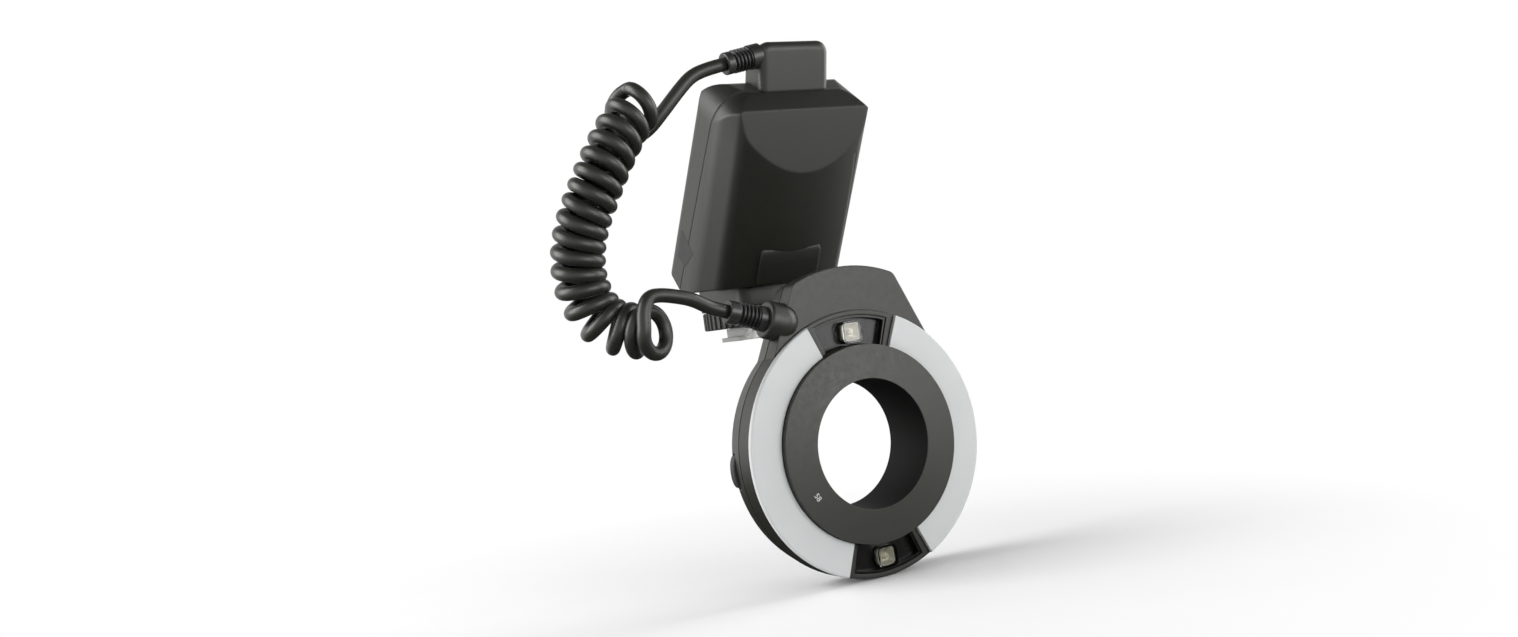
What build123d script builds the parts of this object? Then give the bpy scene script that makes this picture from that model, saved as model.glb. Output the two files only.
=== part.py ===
from build123d import *
import math
import os

os.makedirs("parts", exist_ok=True)

# A macro ring flash: a leaning controller on a shoe foot, a curly cord and a ring head.
# Millimetres. Origin: centre of the shoe foot's underside, X to the right, the ring faces -Y, Z up.

# Fits that many pieces share
wall = 2.2
slip = 0.1
shaft_gap = 0.05
loose_gap = 0.3
overrun = 5.0
screw_radius = 1.05
screw_head_radius = 2.0
screw_head_height = 1.5
post_radius = 3.6

# Where the ring's centre lies from the foot
ring_reach = 95.0
ring_drop = 49.0

# Controller: sizes along its own width, its forward direction and its upward direction
lean = 36.0
half_width = 37.0
rear_forward = -23.0
bottom_front = (21.5, 45.0)
facet_bend = (18.6, 99.0)
facet_crease = (9.2, 124.8)
block_base = (-1.0, 128.3)
rear_top = (-23.0, 126.3)
bottom_rear = (-23.0, 31.0)
bottom_mid = (-5.5, 26.9)
rear_top_round = 12.0
bottom_rear_round = 7.0
taper_start_forward = 0.0
crown_edge_half = 30.9
crown_drop = 5.18
front_corner_round = 8.0
side_corner_round = 20.0
rear_corner_round = 6.0
top_corner_round = 16.0
slab_span = 150.0
seam_forward = -6.0
seam_height = 80.0
seam_tilt = 2.1
seam_gap = 0.3

# Cable block on top of the controller
block_half = 17.0
block_top = 125.9
block_front_top_y = -80.3
block_front_base_y = -74.3
block_base_z = 103.5
block_rear_top_y = -66.5
block_rear_base_y = -58.5
block_corner_round = 5.0
block_front_round = 3.5

# Base housing and shoe
base_half = 19.0
base_front_y = -34.0
base_rear_y = 12.0
base_bottom = 15.1
base_rear_top = 25.0
base_floor = 2.5
base_corner_round = 6.0
foot_width = 18.6
foot_length = 18.0
foot_thickness = 2.0
neck_width = 12.5
neck_top = 6.0
stem_radius = 8.0
stem_flange_radius = 12.0
stem_flange = 2.0
wheel_radius = 20.0
wheel_bottom = 6.3
wheel_top = 14.8
wheel_grips = 40
wheel_grip_radius = 0.9
wheel_edge = 0.6
pin_radius = 1.0
pin_offset = 5.5
pin_recess = 0.4
pin_travel = 1.8
pin_head_radius = 2.0
pin_head_height = 1.5
contact_radius = 1.0
contact_spread = 4.2
contact_height = 2.6

# Rear panel, heights along the controller
window_width = 46.0
window_height = 22.0
window_up = 99.0
window_recess = 0.2
window_round = 2.0
display_width = 50.0
display_height = 24.0
board_forward = -14.8
board_thickness = 1.6
board_half = 27.5
board_top = 116.0
cap_width = 9.0
cap_height = 5.5
cap_round = 2.0
cap_proud = 0.8
cap_travel = 0.7
cap_gap = 0.2
cap_flange = 1.2
cap_flange_thickness = 0.7
upper_row_up = 77.0
upper_row_pitch = 15.0
lower_row_up = 64.0
lower_row_pitch = 15.0
test_place = (22.5, 50.0)
switch_place = (-14.5, 50.0)
switch_travel = 5.0
switch_width = 6.0
switch_height = 4.6
switch_proud = 1.2
switch_flange = 3.0
mat_low = 56.0
mat_high = 82.0
screw_side = 31.4
screw_low_up = 44.0
screw_high_up = 110.0
low_post_front = -4.4
high_post_front = 4.0
screw_end_inset = 1.2

# Batteries, their cradle and the door on the +X side
cell_radius = 7.1
cell_length = 50.5
cell_pitch = 15.4
cell_first_up = 47.0
cell_forward = 5.8
cell_count = 4
cell_tip_radius = 2.7
cell_tip = 1.0
cradle_back = 2.0
cradle_end = 1.6
contact_plate = 0.6
cradle_post_radius = 2.5
cradle_post_side = 10.0
capacitor_radius = 7.0
capacitor_half = 17.5
capacitor_up = 39.0
capacitor_forward = -11.5
hinge_side = 35.2
hinge_forward = -2.0
barrel_radius = 1.7
door_radius = 17.6
door_low = 37.0
door_high = 104.0
door_inner = 26.0
hinge_pin_radius = 0.8
hinge_pin_reach = 2.4
spring_plate_side = 28.0
spring_plate = 0.8
spring_radius = 3.5
spring_plate_front = 10.3
spring_plate_back = -0.5
door_rib = 1.5
door_rib_share = (0.12, 0.5, 0.88)

# Ring head: radii from the lens axis, depths behind the diffusers' face
ring_radius = 56.4
ring_band = 14.3
bore_radius = ring_radius - ring_band
bore_wall = 2.0
hump_foot = (ring_radius - 17.9, ring_radius - 15.2)
hump_corner = (25.0, ring_radius + 13.8)
hump_top = ring_radius + 19.0
hump_corner_round = 5.0
hump_depth = 2.5
seam_depth = 10.0
seam_step = 0.6
rear_depth = 21.7
rear_taper = 2.2
rear_round = 2.5
head_wall = 2.0
diffuser_face = 1.8
diffuser_edge = 1.0
rim_wall = 2.0
pocket_wall = 1.7
pocket_floor = 8.2
left_diffuser = (113.6, 251.0)
right_diffuser = (-64.5, 67.0)
flange_wall = 1.0
flange_depth = 2.2
reflector_inner = bore_radius + 3.1
reflector_outer = ring_radius - 3.4
reflector_front = 3.2
reflector_wall = 0.8
tube_ring = 49.1
tube_radius = 2.0
tube_depth = 5.2
end_inset_angle = 3.0
rail_angle = 3.5
bezel_floor = 5.5
bezel_wall = 1.0
bezel_front = 2.4
lamp_size = 9.4
lamp_round = 2.4
lamp_top_ring = 47.4
lamp_bottom_ring = 48.4
lamp_top_angle = 90.0
lamp_bottom_angle = -87.0
lamp_front = 1.2
lamp_wall = 0.9
bulb_radius = 1.7
bulb_length = 3.0
head_board_depth = 14.2
head_board_thickness = 1.6
head_screw_ring = bore_radius + 7.1
head_post_radius = 2.8
button_out = ring_radius
button_in = button_out - 5.5
button_centre = -3.25
button_length = 14.5
button_depth = 18.5
button_width = 4.0
button_flange = 0.8
button_stem_in = button_in - 4.7
button_stem = 2.4
latch_depth = 12.5
latch_width = 1.4
latch_length = 8.0
latch_out = bore_radius + 2.9
latch_in = bore_radius - 1.0

# Adapter ring
adapter_radius = bore_radius - 0.3
adapter_bore = 27.35
thread_radius = 29.0
thread_length = 3.5
lens_seat = 2.0
annulus_edge_proud = 2.6
annulus_bore_proud = 3.9
annulus_thickness = 3.0
sleeve_wall = 2.4
sleeve_depth = 16.5
groove_depth = 1.0
groove_width = 2.0

# Cord, strain reliefs and the boss
wire_radius = 2.75
curl_radius = 8.5
curl_turns = 16.4583
curl_end_phase = 10.0
curl_pitch_top = 6.2
curl_pitch_bottom = 6.45
collar_radius = 5.3
collar_length = 3.4
boot_radius = 5.0
boot_core = 3.8
boot_ribs = 5
boot_rib_share = 0.55
boot_length = 8.8
end_ring_radius = 4.8
boss_radius = 8.0
boss_length = 7.0
boss_edge = 1.5

# Cord routes, each point chosen by hand
upper_route = [
    (-32.5, -73.0, 117.6),
    (-40.2, -73.0, 116.11),
    (-48.6, -73.2, 112.9),
    (-56.0, -73.6, 107.0),
]
curl_axis = [
    (-76.0, -80.0, 103.5),
    (-80.5, -80.0, 96.5),
    (-91.0, -80.0, 83.5),
    (-103.0, -80.0, 66.0),
    (-111.5, -80.0, 49.0),
    (-114.0, -79.0, 31.0),
    (-109.5, -76.0, 13.0),
    (-95.0, -73.0, 6.0),
    (-88.0, -84.0, 10.0),
]
lower_route = [
    (-75.0, -89.5, 21.8),
    (-67.0, -88.6, 19.9),
    (-59.6, -87.0, 15.438),
    (-54.3, -87.0, 13.8),
]
upper_gland_start = (-17.0, -73.0, 120.6)
lower_gland_start = (-37.8, -87.0, 8.7)

# Planes and directions of the leaning controller
lean_sine = math.sin(math.radians(lean))
lean_cosine = math.cos(math.radians(lean))
up_way = Vector(0, -lean_sine, lean_cosine)
forward_way = Vector(0, -lean_cosine, -lean_sine)
right_way = Vector(1, 0, 0)


def lean_point(side, forward, up):
    """The point at these distances along the controller's own three directions."""
    return right_way * side + forward_way * forward + up_way * up


def front_plane(forward):
    """Looks at the controller's front: x to the right, y up along it."""
    return Plane(origin=lean_point(0, forward, 0), x_dir=right_way, z_dir=forward_way)


def section_plane(up):
    """Cuts across the controller: x to the right, y forward; its normal points down."""
    return Plane(origin=lean_point(0, 0, up), x_dir=right_way, z_dir=-up_way)


side_plane = Plane(origin=(0, 0, 0), x_dir=forward_way, z_dir=-right_way)
front_rise = (bottom_front[0] - facet_bend[0]) / (facet_bend[1] - bottom_front[1])
front_tilt = math.atan(front_rise)
crown_plane = Plane(
    origin=lean_point(0, bottom_front[0], bottom_front[1]),
    x_dir=right_way,
    z_dir=forward_way * math.sin(front_tilt) - up_way * math.cos(front_tilt),
)
seam_normal = forward_way * math.cos(math.radians(seam_tilt)) - up_way * math.sin(
    math.radians(seam_tilt)
)
front_seam = Plane(
    origin=lean_point(0, seam_forward, seam_height), x_dir=right_way, z_dir=seam_normal
)


def ring_plane(depth):
    """Faces the viewer of the ring: x to the right, y up, at this depth behind its face."""
    return Plane(origin=(0, depth - ring_reach, -ring_drop), x_dir=(1, 0, 0), z_dir=(0, -1, 0))


ring_section = Plane(origin=(0, -ring_reach, -ring_drop))
ring_axis = Axis((0, -ring_reach, -ring_drop), (0, 1, 0))


def save(part, name):
    part.label = name
    export_step(part, "parts/" + name + ".step")


# Controller shells


def slab(inset):
    """The controller's outer form, or the same form drawn in by a wall."""
    outline = [
        bottom_rear,
        rear_top,
        block_base,
        facet_crease,
        facet_bend,
        bottom_front,
        bottom_mid,
    ]
    with BuildSketch(side_plane) as side_sketch:
        with BuildLine():
            Polyline(*outline, close=True)
        make_face()
        fillet(side_sketch.vertices().sort_by_distance(rear_top)[0], rear_top_round)
        fillet(side_sketch.vertices().sort_by_distance(bottom_rear)[0], bottom_rear_round)
        if inset:
            offset(amount=-inset)
    crown_low = -crown_drop
    taper_back = taper_start_forward - bottom_front[0] + front_rise * seam_height / 2
    with BuildSketch(crown_plane) as crown_sketch:
        with BuildLine():
            ThreePointArc((-crown_edge_half, crown_low), (0, 0), (crown_edge_half, crown_low))
            Polyline(
                (crown_edge_half, crown_low),
                (half_width, taper_back),
                (half_width, -slab_span),
                (-half_width, -slab_span),
                (-half_width, taper_back),
                (-crown_edge_half, crown_low),
            )
        make_face()
        for way in (-1, 1):
            front_corner = (way * crown_edge_half, crown_low)
            side_corner = (way * half_width, taper_back)
            fillet(crown_sketch.vertices().sort_by_distance(front_corner)[0], front_corner_round)
            fillet(crown_sketch.vertices().sort_by_distance(side_corner)[0], side_corner_round)
        if inset:
            offset(amount=-inset)
    with BuildSketch(section_plane(0)) as rear_sketch:
        with Locations((0, rear_forward + slab_span / 2)):
            Rectangle(2 * half_width, slab_span)
        rear_corners = rear_sketch.vertices().group_by(Axis.Y)[0]
        fillet(rear_corners, rear_corner_round)
        if inset:
            offset(amount=-inset)
    with BuildSketch(front_plane(0)) as outline_sketch:
        with Locations((0, block_base[1] - slab_span / 2)):
            Rectangle(2 * half_width, slab_span)
        fillet(outline_sketch.vertices().group_by(Axis.Y)[-1], top_corner_round)
        if inset:
            offset(amount=-inset)
    with BuildPart() as form:
        extrude(outline_sketch.sketch, amount=slab_span, both=True)
        extrude(side_sketch.sketch, amount=slab_span, both=True, mode=Mode.INTERSECT)
        extrude(rear_sketch.sketch, amount=slab_span, both=True, mode=Mode.INTERSECT)
        extrude(crown_sketch.sketch, amount=slab_span, both=True, mode=Mode.INTERSECT)
    return form.part


outer_form = slab(0)
inner_form = slab(wall)


def door_space(radius, gap):
    """The round-fronted space about the hinge that the door fills or swings in."""
    back = hinge_forward - (gap and half_width - hinge_side) - gap
    height = door_high - door_low + 2 * gap
    with BuildPart() as space:
        with BuildSketch(section_plane(door_low - gap)):
            with Locations((hinge_side, hinge_forward)):
                Circle(radius)
            with Locations((door_inner, back)):
                Rectangle(
                    half_width,
                    slab_span,
                    align=(Align.MIN, Align.MIN),
                    mode=Mode.INTERSECT,
                )
        extrude(amount=-height)
    return space.part


def upright(side, forward, low, high, radius):
    """A round bar along the controller's upward direction."""
    with BuildPart(mode=Mode.PRIVATE) as bar:
        with BuildSketch(section_plane(low)):
            with Locations((side, forward)):
                Circle(radius)
        extrude(amount=low - high)
    return bar.part


def screw_places():
    """Each controller screw: its side, its height and how far forward its post reaches."""
    places = []
    for side in (-screw_side, screw_side):
        places.append((side, screw_low_up, low_post_front))
        places.append((side, screw_high_up, high_post_front))
    return places


door_opening = door_space(door_radius + loose_gap, loose_gap)
low_pin_boss = upright(
    hinge_side, hinge_forward, door_low - loose_gap - hinge_pin_reach, door_low - loose_gap,
    barrel_radius,
)
high_pin_boss = upright(
    hinge_side, hinge_forward, door_high + loose_gap, door_high + loose_gap + hinge_pin_reach,
    barrel_radius,
)
pin_hole = upright(
    hinge_side, hinge_forward, door_low - hinge_pin_reach, door_high + hinge_pin_reach,
    hinge_pin_radius + shaft_gap,
)

with BuildPart() as front_shell:
    add(outer_form)
    add(inner_form, mode=Mode.SUBTRACT)
    add(low_pin_boss)
    add(high_pin_boss)
    for side, up, front in screw_places():
        with BuildSketch(front_plane(rear_forward + wall)):
            with Locations((side, up)):
                Circle(post_radius)
        extrude(amount=front - rear_forward - wall)
    add(outer_form, mode=Mode.INTERSECT)
    split(bisect_by=front_seam, keep=Keep.TOP)
    add(door_opening, mode=Mode.SUBTRACT)
    add(pin_hole, mode=Mode.SUBTRACT)
    for side, up, front in screw_places():
        with BuildSketch(front_plane(rear_forward)):
            with Locations((side, up)):
                Circle(screw_radius + shaft_gap)
        extrude(amount=front - screw_end_inset - rear_forward, mode=Mode.SUBTRACT)
save(front_shell.part, "front_shell")

# Push buttons on the rear panel: name and place across and up the panel
push_buttons = [
    ("button_lamp", -1.5 * upper_row_pitch, upper_row_up),
    ("button_mode", -0.5 * upper_row_pitch, upper_row_up),
    ("button_ratio", 0.5 * upper_row_pitch, upper_row_up),
    ("button_sync", 1.5 * upper_row_pitch, upper_row_up),
    ("button_minus", -lower_row_pitch, lower_row_up),
    ("button_set", 0, lower_row_up),
    ("button_plus", lower_row_pitch, lower_row_up),
    ("button_test", test_place[0], test_place[1]),
]
rear_inner = rear_forward + wall

with BuildPart() as rear_shell:
    add(outer_form)
    add(inner_form, mode=Mode.SUBTRACT)
    for side, up, front in screw_places():
        with BuildSketch(front_plane(rear_inner)):
            with Locations((side, up)):
                Circle(post_radius)
        extrude(amount=front - rear_inner)
    add(outer_form, mode=Mode.INTERSECT)
    split(bisect_by=front_seam.offset(-seam_gap), keep=Keep.BOTTOM)
    with BuildSketch(front_plane(rear_forward - overrun)):
        with Locations((0, window_up)):
            RectangleRounded(window_width, window_height, window_round)
        for name, side, up in push_buttons:
            with Locations((side, up)):
                RectangleRounded(cap_width + 2 * cap_gap, cap_height + 2 * cap_gap, cap_round)
        with Locations((switch_place[0] + switch_travel / 2, switch_place[1])):
            Rectangle(
                switch_width + switch_travel + 2 * cap_gap, switch_height + 2 * cap_gap
            )
    extrude(amount=wall + 2 * overrun - cap_travel, mode=Mode.SUBTRACT)
    for side, up, front in screw_places():
        with BuildSketch(front_plane(rear_forward)):
            with Locations((side, up)):
                Circle(screw_radius + shaft_gap)
        extrude(amount=slab_span, mode=Mode.SUBTRACT)
        with BuildSketch(front_plane(rear_forward)):
            with Locations((side, up)):
                Circle(screw_head_radius + shaft_gap)
        extrude(amount=screw_head_height, mode=Mode.SUBTRACT)
save(rear_shell.part, "rear_shell")

with BuildPart() as controller_screws:
    for side, up, front in screw_places():
        with BuildSketch(front_plane(rear_forward)):
            with Locations((side, up)):
                Circle(screw_head_radius)
        extrude(amount=screw_head_height)
        with BuildSketch(front_plane(rear_forward)):
            with Locations((side, up)):
                Circle(screw_radius)
        extrude(amount=front - screw_end_inset - rear_forward)
save(controller_screws.part, "controller_screws")

# Cable block

with BuildPart() as cable_block:
    with BuildSketch(Plane.YZ):
        with BuildLine():
            Polyline(
                (block_front_base_y, block_base_z),
                (block_front_top_y, block_top),
                (block_rear_top_y, block_top),
                (block_rear_base_y, block_base_z),
                close=True,
            )
        make_face()
    extrude(amount=block_half, both=True)
    top_edges = cable_block.faces().sort_by(Axis.Z)[-1].edges()
    fillet(top_edges.filter_by(Axis.Y), block_corner_round)
    front_edges = cable_block.faces().sort_by(Axis.Y)[0].edges()
    fillet(front_edges.sort_by(Axis.Z)[-1], block_front_round)
    add(outer_form, mode=Mode.SUBTRACT)
save(cable_block.part, "cable_block")

# Rear panel pieces

with BuildPart() as lcd_window:
    with BuildSketch(front_plane(rear_forward + window_recess)):
        with Locations((0, window_up)):
            RectangleRounded(window_width - 2 * slip, window_height - 2 * slip, window_round)
    extrude(amount=wall - window_recess)
save(lcd_window.part, "lcd_window")

with BuildPart() as lcd_panel:
    with BuildSketch(front_plane(rear_inner)):
        with Locations((0, window_up)):
            Rectangle(display_width, display_height)
    extrude(amount=board_forward - rear_inner)
save(lcd_panel.part, "lcd_panel")

board_bottom = capacitor_up + capacitor_radius + loose_gap
with BuildPart() as main_board:
    with BuildSketch(front_plane(board_forward)):
        with Locations((0, (board_top + board_bottom) / 2)):
            Rectangle(2 * board_half, board_top - board_bottom)
    extrude(amount=board_thickness)
save(main_board.part, "main_board")

flange_front = rear_inner + slip + cap_flange_thickness
mat_rear = flange_front + cap_travel + slip
with BuildPart() as button_mat:
    with BuildSketch(front_plane(mat_rear)):
        with Locations((0, (mat_low + mat_high) / 2)):
            Rectangle(2 * board_half, mat_high - mat_low)
        with Locations(test_place):
            Rectangle(cap_width, 2 * (mat_low - test_place[1]) + cap_gap)
    extrude(amount=board_forward - mat_rear)
save(button_mat.part, "button_mat")

for name, side, up in push_buttons:
    with BuildPart() as push_button:
        with BuildSketch(front_plane(rear_forward - cap_proud)):
            with Locations((side, up)):
                RectangleRounded(cap_width, cap_height, cap_round)
        extrude(amount=cap_proud + wall + slip)
        with BuildSketch(front_plane(rear_inner + slip)):
            with Locations((side, up)):
                Rectangle(cap_width + 2 * cap_flange, cap_height + 2 * cap_flange)
        extrude(amount=cap_flange_thickness)
    save(push_button.part, name)

with BuildPart() as power_switch:
    with BuildSketch(front_plane(rear_forward - switch_proud)):
        with Locations(switch_place):
            Rectangle(switch_width, switch_height)
    extrude(amount=switch_proud + wall + slip)
    with BuildSketch(front_plane(rear_inner + slip)):
        with Locations(switch_place):
            Rectangle(switch_width + 2 * switch_flange, switch_height + switch_flange)
    extrude(amount=cap_flange_thickness)
save(power_switch.part, "power_switch")

# Batteries and what holds them

cell_ups = [cell_first_up + cell_pitch * index for index in range(cell_count)]
cell_half = cell_length / 2

with BuildPart() as aa_cells:
    for up in cell_ups:
        with BuildSketch(side_plane.offset(-cell_half)):
            with Locations((cell_forward, up)):
                Circle(cell_radius)
        extrude(amount=cell_length - cell_tip)
        with BuildSketch(side_plane.offset(-cell_half)):
            with Locations((cell_forward, up)):
                Circle(cell_tip_radius)
        extrude(amount=cell_length)
save(aa_cells.part, "aa_cells")

cradle_bottom = cell_ups[0] - cell_radius
cradle_top = cell_ups[-1] + cell_radius
cradle_rear = cell_forward - cell_radius - cradle_back
contact_side = -cell_half - contact_plate
with BuildPart() as battery_cradle:
    with BuildSketch(section_plane(cradle_bottom)):
        with Locations((contact_side - cradle_end, cradle_rear)):
            Rectangle(
                cell_half - contact_side + cradle_end,
                cell_forward - cradle_rear,
                align=(Align.MIN, Align.MIN),
            )
    extrude(amount=cradle_bottom - cradle_top)
    for up in cell_ups:
        with BuildSketch(side_plane.offset(-cell_half - overrun)):
            with Locations((cell_forward, up)):
                Circle(cell_radius + slip)
        extrude(amount=cell_half + overrun - contact_side, mode=Mode.SUBTRACT)
    for side in (-cradle_post_side, cradle_post_side):
        with BuildSketch(front_plane(board_forward + board_thickness)):
            with Locations((side, (cell_ups[0] + cell_ups[1]) / 2)):
                Circle(cradle_post_radius)
            with Locations((side, (cell_ups[-2] + cell_ups[-1]) / 2)):
                Circle(cradle_post_radius)
        extrude(amount=cradle_rear - board_forward - board_thickness)
save(battery_cradle.part, "battery_cradle")

with BuildPart() as battery_contacts:
    for up in cell_ups:
        with BuildSketch(side_plane.offset(cell_half)):
            with Locations((cell_forward, up)):
                Rectangle(2 * spring_radius, 2 * spring_radius)
        extrude(amount=contact_plate)
save(battery_contacts.part, "battery_contacts")

with BuildPart() as flash_capacitor:
    with BuildSketch(side_plane.offset(-capacitor_half)):
        with Locations((capacitor_forward, capacitor_up)):
            Circle(capacitor_radius)
    extrude(amount=2 * capacitor_half)
save(flash_capacitor.part, "flash_capacitor")

# Battery door, its springs and pin

door_form = door_space(door_radius, 0)
barrel = upright(hinge_side, hinge_forward, door_low, door_high, barrel_radius)
with BuildPart() as battery_door:
    add(outer_form)
    add(inner_form, mode=Mode.SUBTRACT)
    add(door_form, mode=Mode.INTERSECT)
    add(barrel)
    for share in door_rib_share:
        with BuildSketch(section_plane(door_low + share * (door_high - door_low) - door_rib / 2)):
            with Locations((spring_plate_side + spring_plate, spring_plate_back)):
                Rectangle(
                    half_width - spring_plate_side - spring_plate - wall,
                    spring_plate_front - spring_plate_back,
                    align=(Align.MIN, Align.MIN),
                )
        extrude(amount=-door_rib)
    add(outer_form, mode=Mode.INTERSECT)
    add(pin_hole, mode=Mode.SUBTRACT)
save(battery_door.part, "battery_door")

with BuildPart() as door_springs:
    with BuildSketch(section_plane(cradle_bottom)):
        with Locations((spring_plate_side, spring_plate_back)):
            Rectangle(
                spring_plate,
                spring_plate_front - spring_plate_back,
                align=(Align.MIN, Align.MIN),
            )
    extrude(amount=cradle_bottom - cradle_top)
    for up in cell_ups:
        with BuildSketch(side_plane.offset(-spring_plate_side)):
            with Locations((cell_forward, up)):
                Circle(spring_radius)
        extrude(amount=spring_plate_side - cell_half - loose_gap)
save(door_springs.part, "door_springs")

hinge_pin = upright(
    hinge_side,
    hinge_forward,
    door_low - hinge_pin_reach,
    door_high + hinge_pin_reach,
    hinge_pin_radius,
)
save(hinge_pin, "door_hinge_pin")

# Base housing and shoe


def base_form(inset):
    """The base housing's outer form, or its hollow."""
    slab_bottom = [lean_point(0, place[0], place[1]) for place in (bottom_mid, bottom_rear)]
    front_bottom = lean_point(0, bottom_front[0], bottom_front[1])
    mid = slab_bottom[0]
    rise = (front_bottom.Z - mid.Z) / (front_bottom.Y - mid.Y)
    front_z = mid.Z + rise * (base_front_y - mid.Y)
    with BuildPart() as form:
        with BuildSketch(Plane.YZ) as profile:
            with BuildLine():
                Polyline(
                    (base_front_y, base_bottom),
                    (base_front_y, front_z),
                    (mid.Y, mid.Z),
                    (slab_bottom[1].Y, slab_bottom[1].Z),
                    (base_rear_y, base_rear_top),
                    (base_rear_y, base_bottom),
                    close=True,
                )
            make_face()
            if inset:
                offset(amount=-inset)
        extrude(amount=base_half - inset, both=True)
        if not inset:
            fillet(form.edges().filter_by(Axis.Z), base_corner_round)
    return form.part


with BuildPart() as base_housing:
    add(base_form(0))
    add(base_form(base_floor), mode=Mode.SUBTRACT)
    with BuildSketch(Plane.XY.offset(base_bottom)):
        Circle(stem_radius + shaft_gap)
    extrude(amount=base_floor, mode=Mode.SUBTRACT)
save(base_housing.part, "base_housing")

flange_base = base_bottom + base_floor
with BuildPart() as lock_stem:
    with BuildSketch(Plane.XY.offset(neck_top)):
        Circle(stem_radius)
    extrude(amount=flange_base - neck_top)
    with BuildSketch(Plane.XY.offset(flange_base)):
        Circle(stem_flange_radius)
        Rectangle(
            2 * stem_flange_radius,
            2 * (base_rear_y - base_floor),
            mode=Mode.INTERSECT,
        )
    extrude(amount=stem_flange)
    with BuildSketch(Plane.XY.offset(neck_top)):
        with Locations((0, pin_offset)):
            Circle(pin_radius + shaft_gap)
    extrude(amount=slab_span, mode=Mode.SUBTRACT)
save(lock_stem.part, "lock_stem")

contact_places = [
    (0, 0),
    (-contact_spread, -contact_spread),
    (contact_spread, -contact_spread),
    (-contact_spread, contact_spread / 2),
    (contact_spread, contact_spread / 2),
]
with BuildPart() as shoe_foot:
    with BuildSketch(Plane.XY):
        Rectangle(foot_width, foot_length)
    extrude(amount=foot_thickness)
    with BuildSketch(Plane.XY.offset(foot_thickness)):
        Rectangle(neck_width, foot_length)
    extrude(amount=neck_top - foot_thickness)
    with BuildSketch(Plane.XY):
        with Locations((0, pin_offset)):
            Circle(pin_radius + shaft_gap)
    extrude(amount=neck_top, mode=Mode.SUBTRACT)
    with BuildSketch(Plane.XY):
        with Locations(*contact_places):
            Circle(contact_radius + shaft_gap)
    extrude(amount=contact_height, mode=Mode.SUBTRACT)
save(shoe_foot.part, "shoe_foot")

with BuildPart() as shoe_contacts:
    with BuildSketch(Plane.XY):
        with Locations(*contact_places):
            Circle(contact_radius)
    extrude(amount=contact_height)
save(shoe_contacts.part, "shoe_contacts")

with BuildPart() as lock_wheel:
    with BuildSketch(Plane.XY.offset(wheel_bottom)):
        Circle(wheel_radius)
    extrude(amount=wheel_top - wheel_bottom)
    chamfer(lock_wheel.edges().filter_by(GeomType.CIRCLE), wheel_edge)
    with BuildSketch(Plane.XY.offset(wheel_bottom)):
        with PolarLocations(wheel_radius, wheel_grips):
            Circle(wheel_grip_radius)
        Circle(stem_radius + shaft_gap)
    extrude(amount=wheel_top - wheel_bottom, mode=Mode.SUBTRACT)
save(lock_wheel.part, "lock_wheel")

pin_head_base = flange_base + stem_flange + pin_travel + slip
with BuildPart() as lock_pin:
    with BuildSketch(Plane.XY.offset(pin_recess)):
        with Locations((0, pin_offset)):
            Circle(pin_radius)
    extrude(amount=pin_head_base - pin_recess)
    with BuildSketch(Plane.XY.offset(pin_head_base)):
        with Locations((0, pin_offset)):
            Circle(pin_head_radius)
    extrude(amount=pin_head_height)
save(lock_pin.part, "lock_pin")

# Strain reliefs and the boss on the hump

gland_ends = {"upper": upper_route[0], "lower": lower_route[-1]}
gland_starts = {"upper": upper_gland_start, "lower": lower_gland_start}


def gland_plane(side, distance):
    """Square to a strain relief's axis, this far from its seat towards the cord."""
    start = Vector(gland_starts[side])
    way = (Vector(gland_ends[side]) - start).normalized()
    return Plane(origin=start + way * distance, z_dir=way)


with BuildPart() as cable_boss:
    with BuildSketch(gland_plane("lower", -boss_length)):
        Circle(boss_radius)
    extrude(amount=boss_length)
    fillet(cable_boss.faces().sort_by(Axis.X)[0].edges(), boss_edge)
    with Locations(gland_plane("lower", -boss_length)):
        Sphere(boss_radius)
save(cable_boss.part, "cable_boss")

for side, carrier in (("upper", cable_block.part), ("lower", cable_boss.part)):
    gland_length = (Vector(gland_ends[side]) - Vector(gland_starts[side])).length
    with BuildPart() as collar:
        with BuildSketch(gland_plane(side, -boss_edge)):
            Circle(collar_radius)
        extrude(amount=boss_edge + collar_length)
        add(carrier, mode=Mode.SUBTRACT)
    save(collar.part, side + "_collar")
    rib_step = boot_length / boot_ribs
    with BuildPart() as boot:
        with BuildSketch(gland_plane(side, collar_length)):
            Circle(boot_core)
        extrude(amount=boot_length)
        for index in range(boot_ribs):
            with BuildSketch(gland_plane(side, collar_length + index * rib_step)):
                Circle(boot_radius)
            extrude(amount=boot_rib_share * rib_step)
    save(boot.part, side + "_strain_relief")
    with BuildPart() as end_ring:
        with BuildSketch(gland_plane(side, collar_length + boot_length)):
            Circle(end_ring_radius)
        extrude(amount=gland_length - collar_length - boot_length)
        fillet(end_ring.edges().filter_by(GeomType.CIRCLE), wheel_edge)
    save(end_ring.part, side + "_end_ring")

# Cord


def route_radii(points):
    """The radius at each corner of a route, as large as its two runs allow."""
    radii = []
    for before, corner, after in zip(points, points[1:], points[2:]):
        first = Vector(corner) - Vector(before)
        second = Vector(after) - Vector(corner)
        half_turn = math.radians(first.get_angle(second)) / 2
        radii.append(0.45 * min(first.length, second.length) / math.tan(half_turn))
    return radii


def save_lead(points, name):
    """A plain stretch of cord: straight runs joined by tangent arcs."""
    radii = route_radii(points)
    with BuildPart() as lead:
        with BuildLine() as path:
            FilletPolyline(*points, radius=radii)
        with BuildSketch(Plane(origin=path.line @ 0, z_dir=path.line % 0)):
            Circle(wire_radius)
        sweep()
    section = math.pi * wire_radius**2
    length = sum(edge.length for edge in path.edges())
    print(name, "radii", [round(radius, 1) for radius in radii])
    print(name, "volume over section times length", lead.part.volume / section / length)
    save(lead.part, name)


save_lead(upper_route, "cord_upper_lead")
save_lead(lower_route, "cord_lower_lead")


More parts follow.
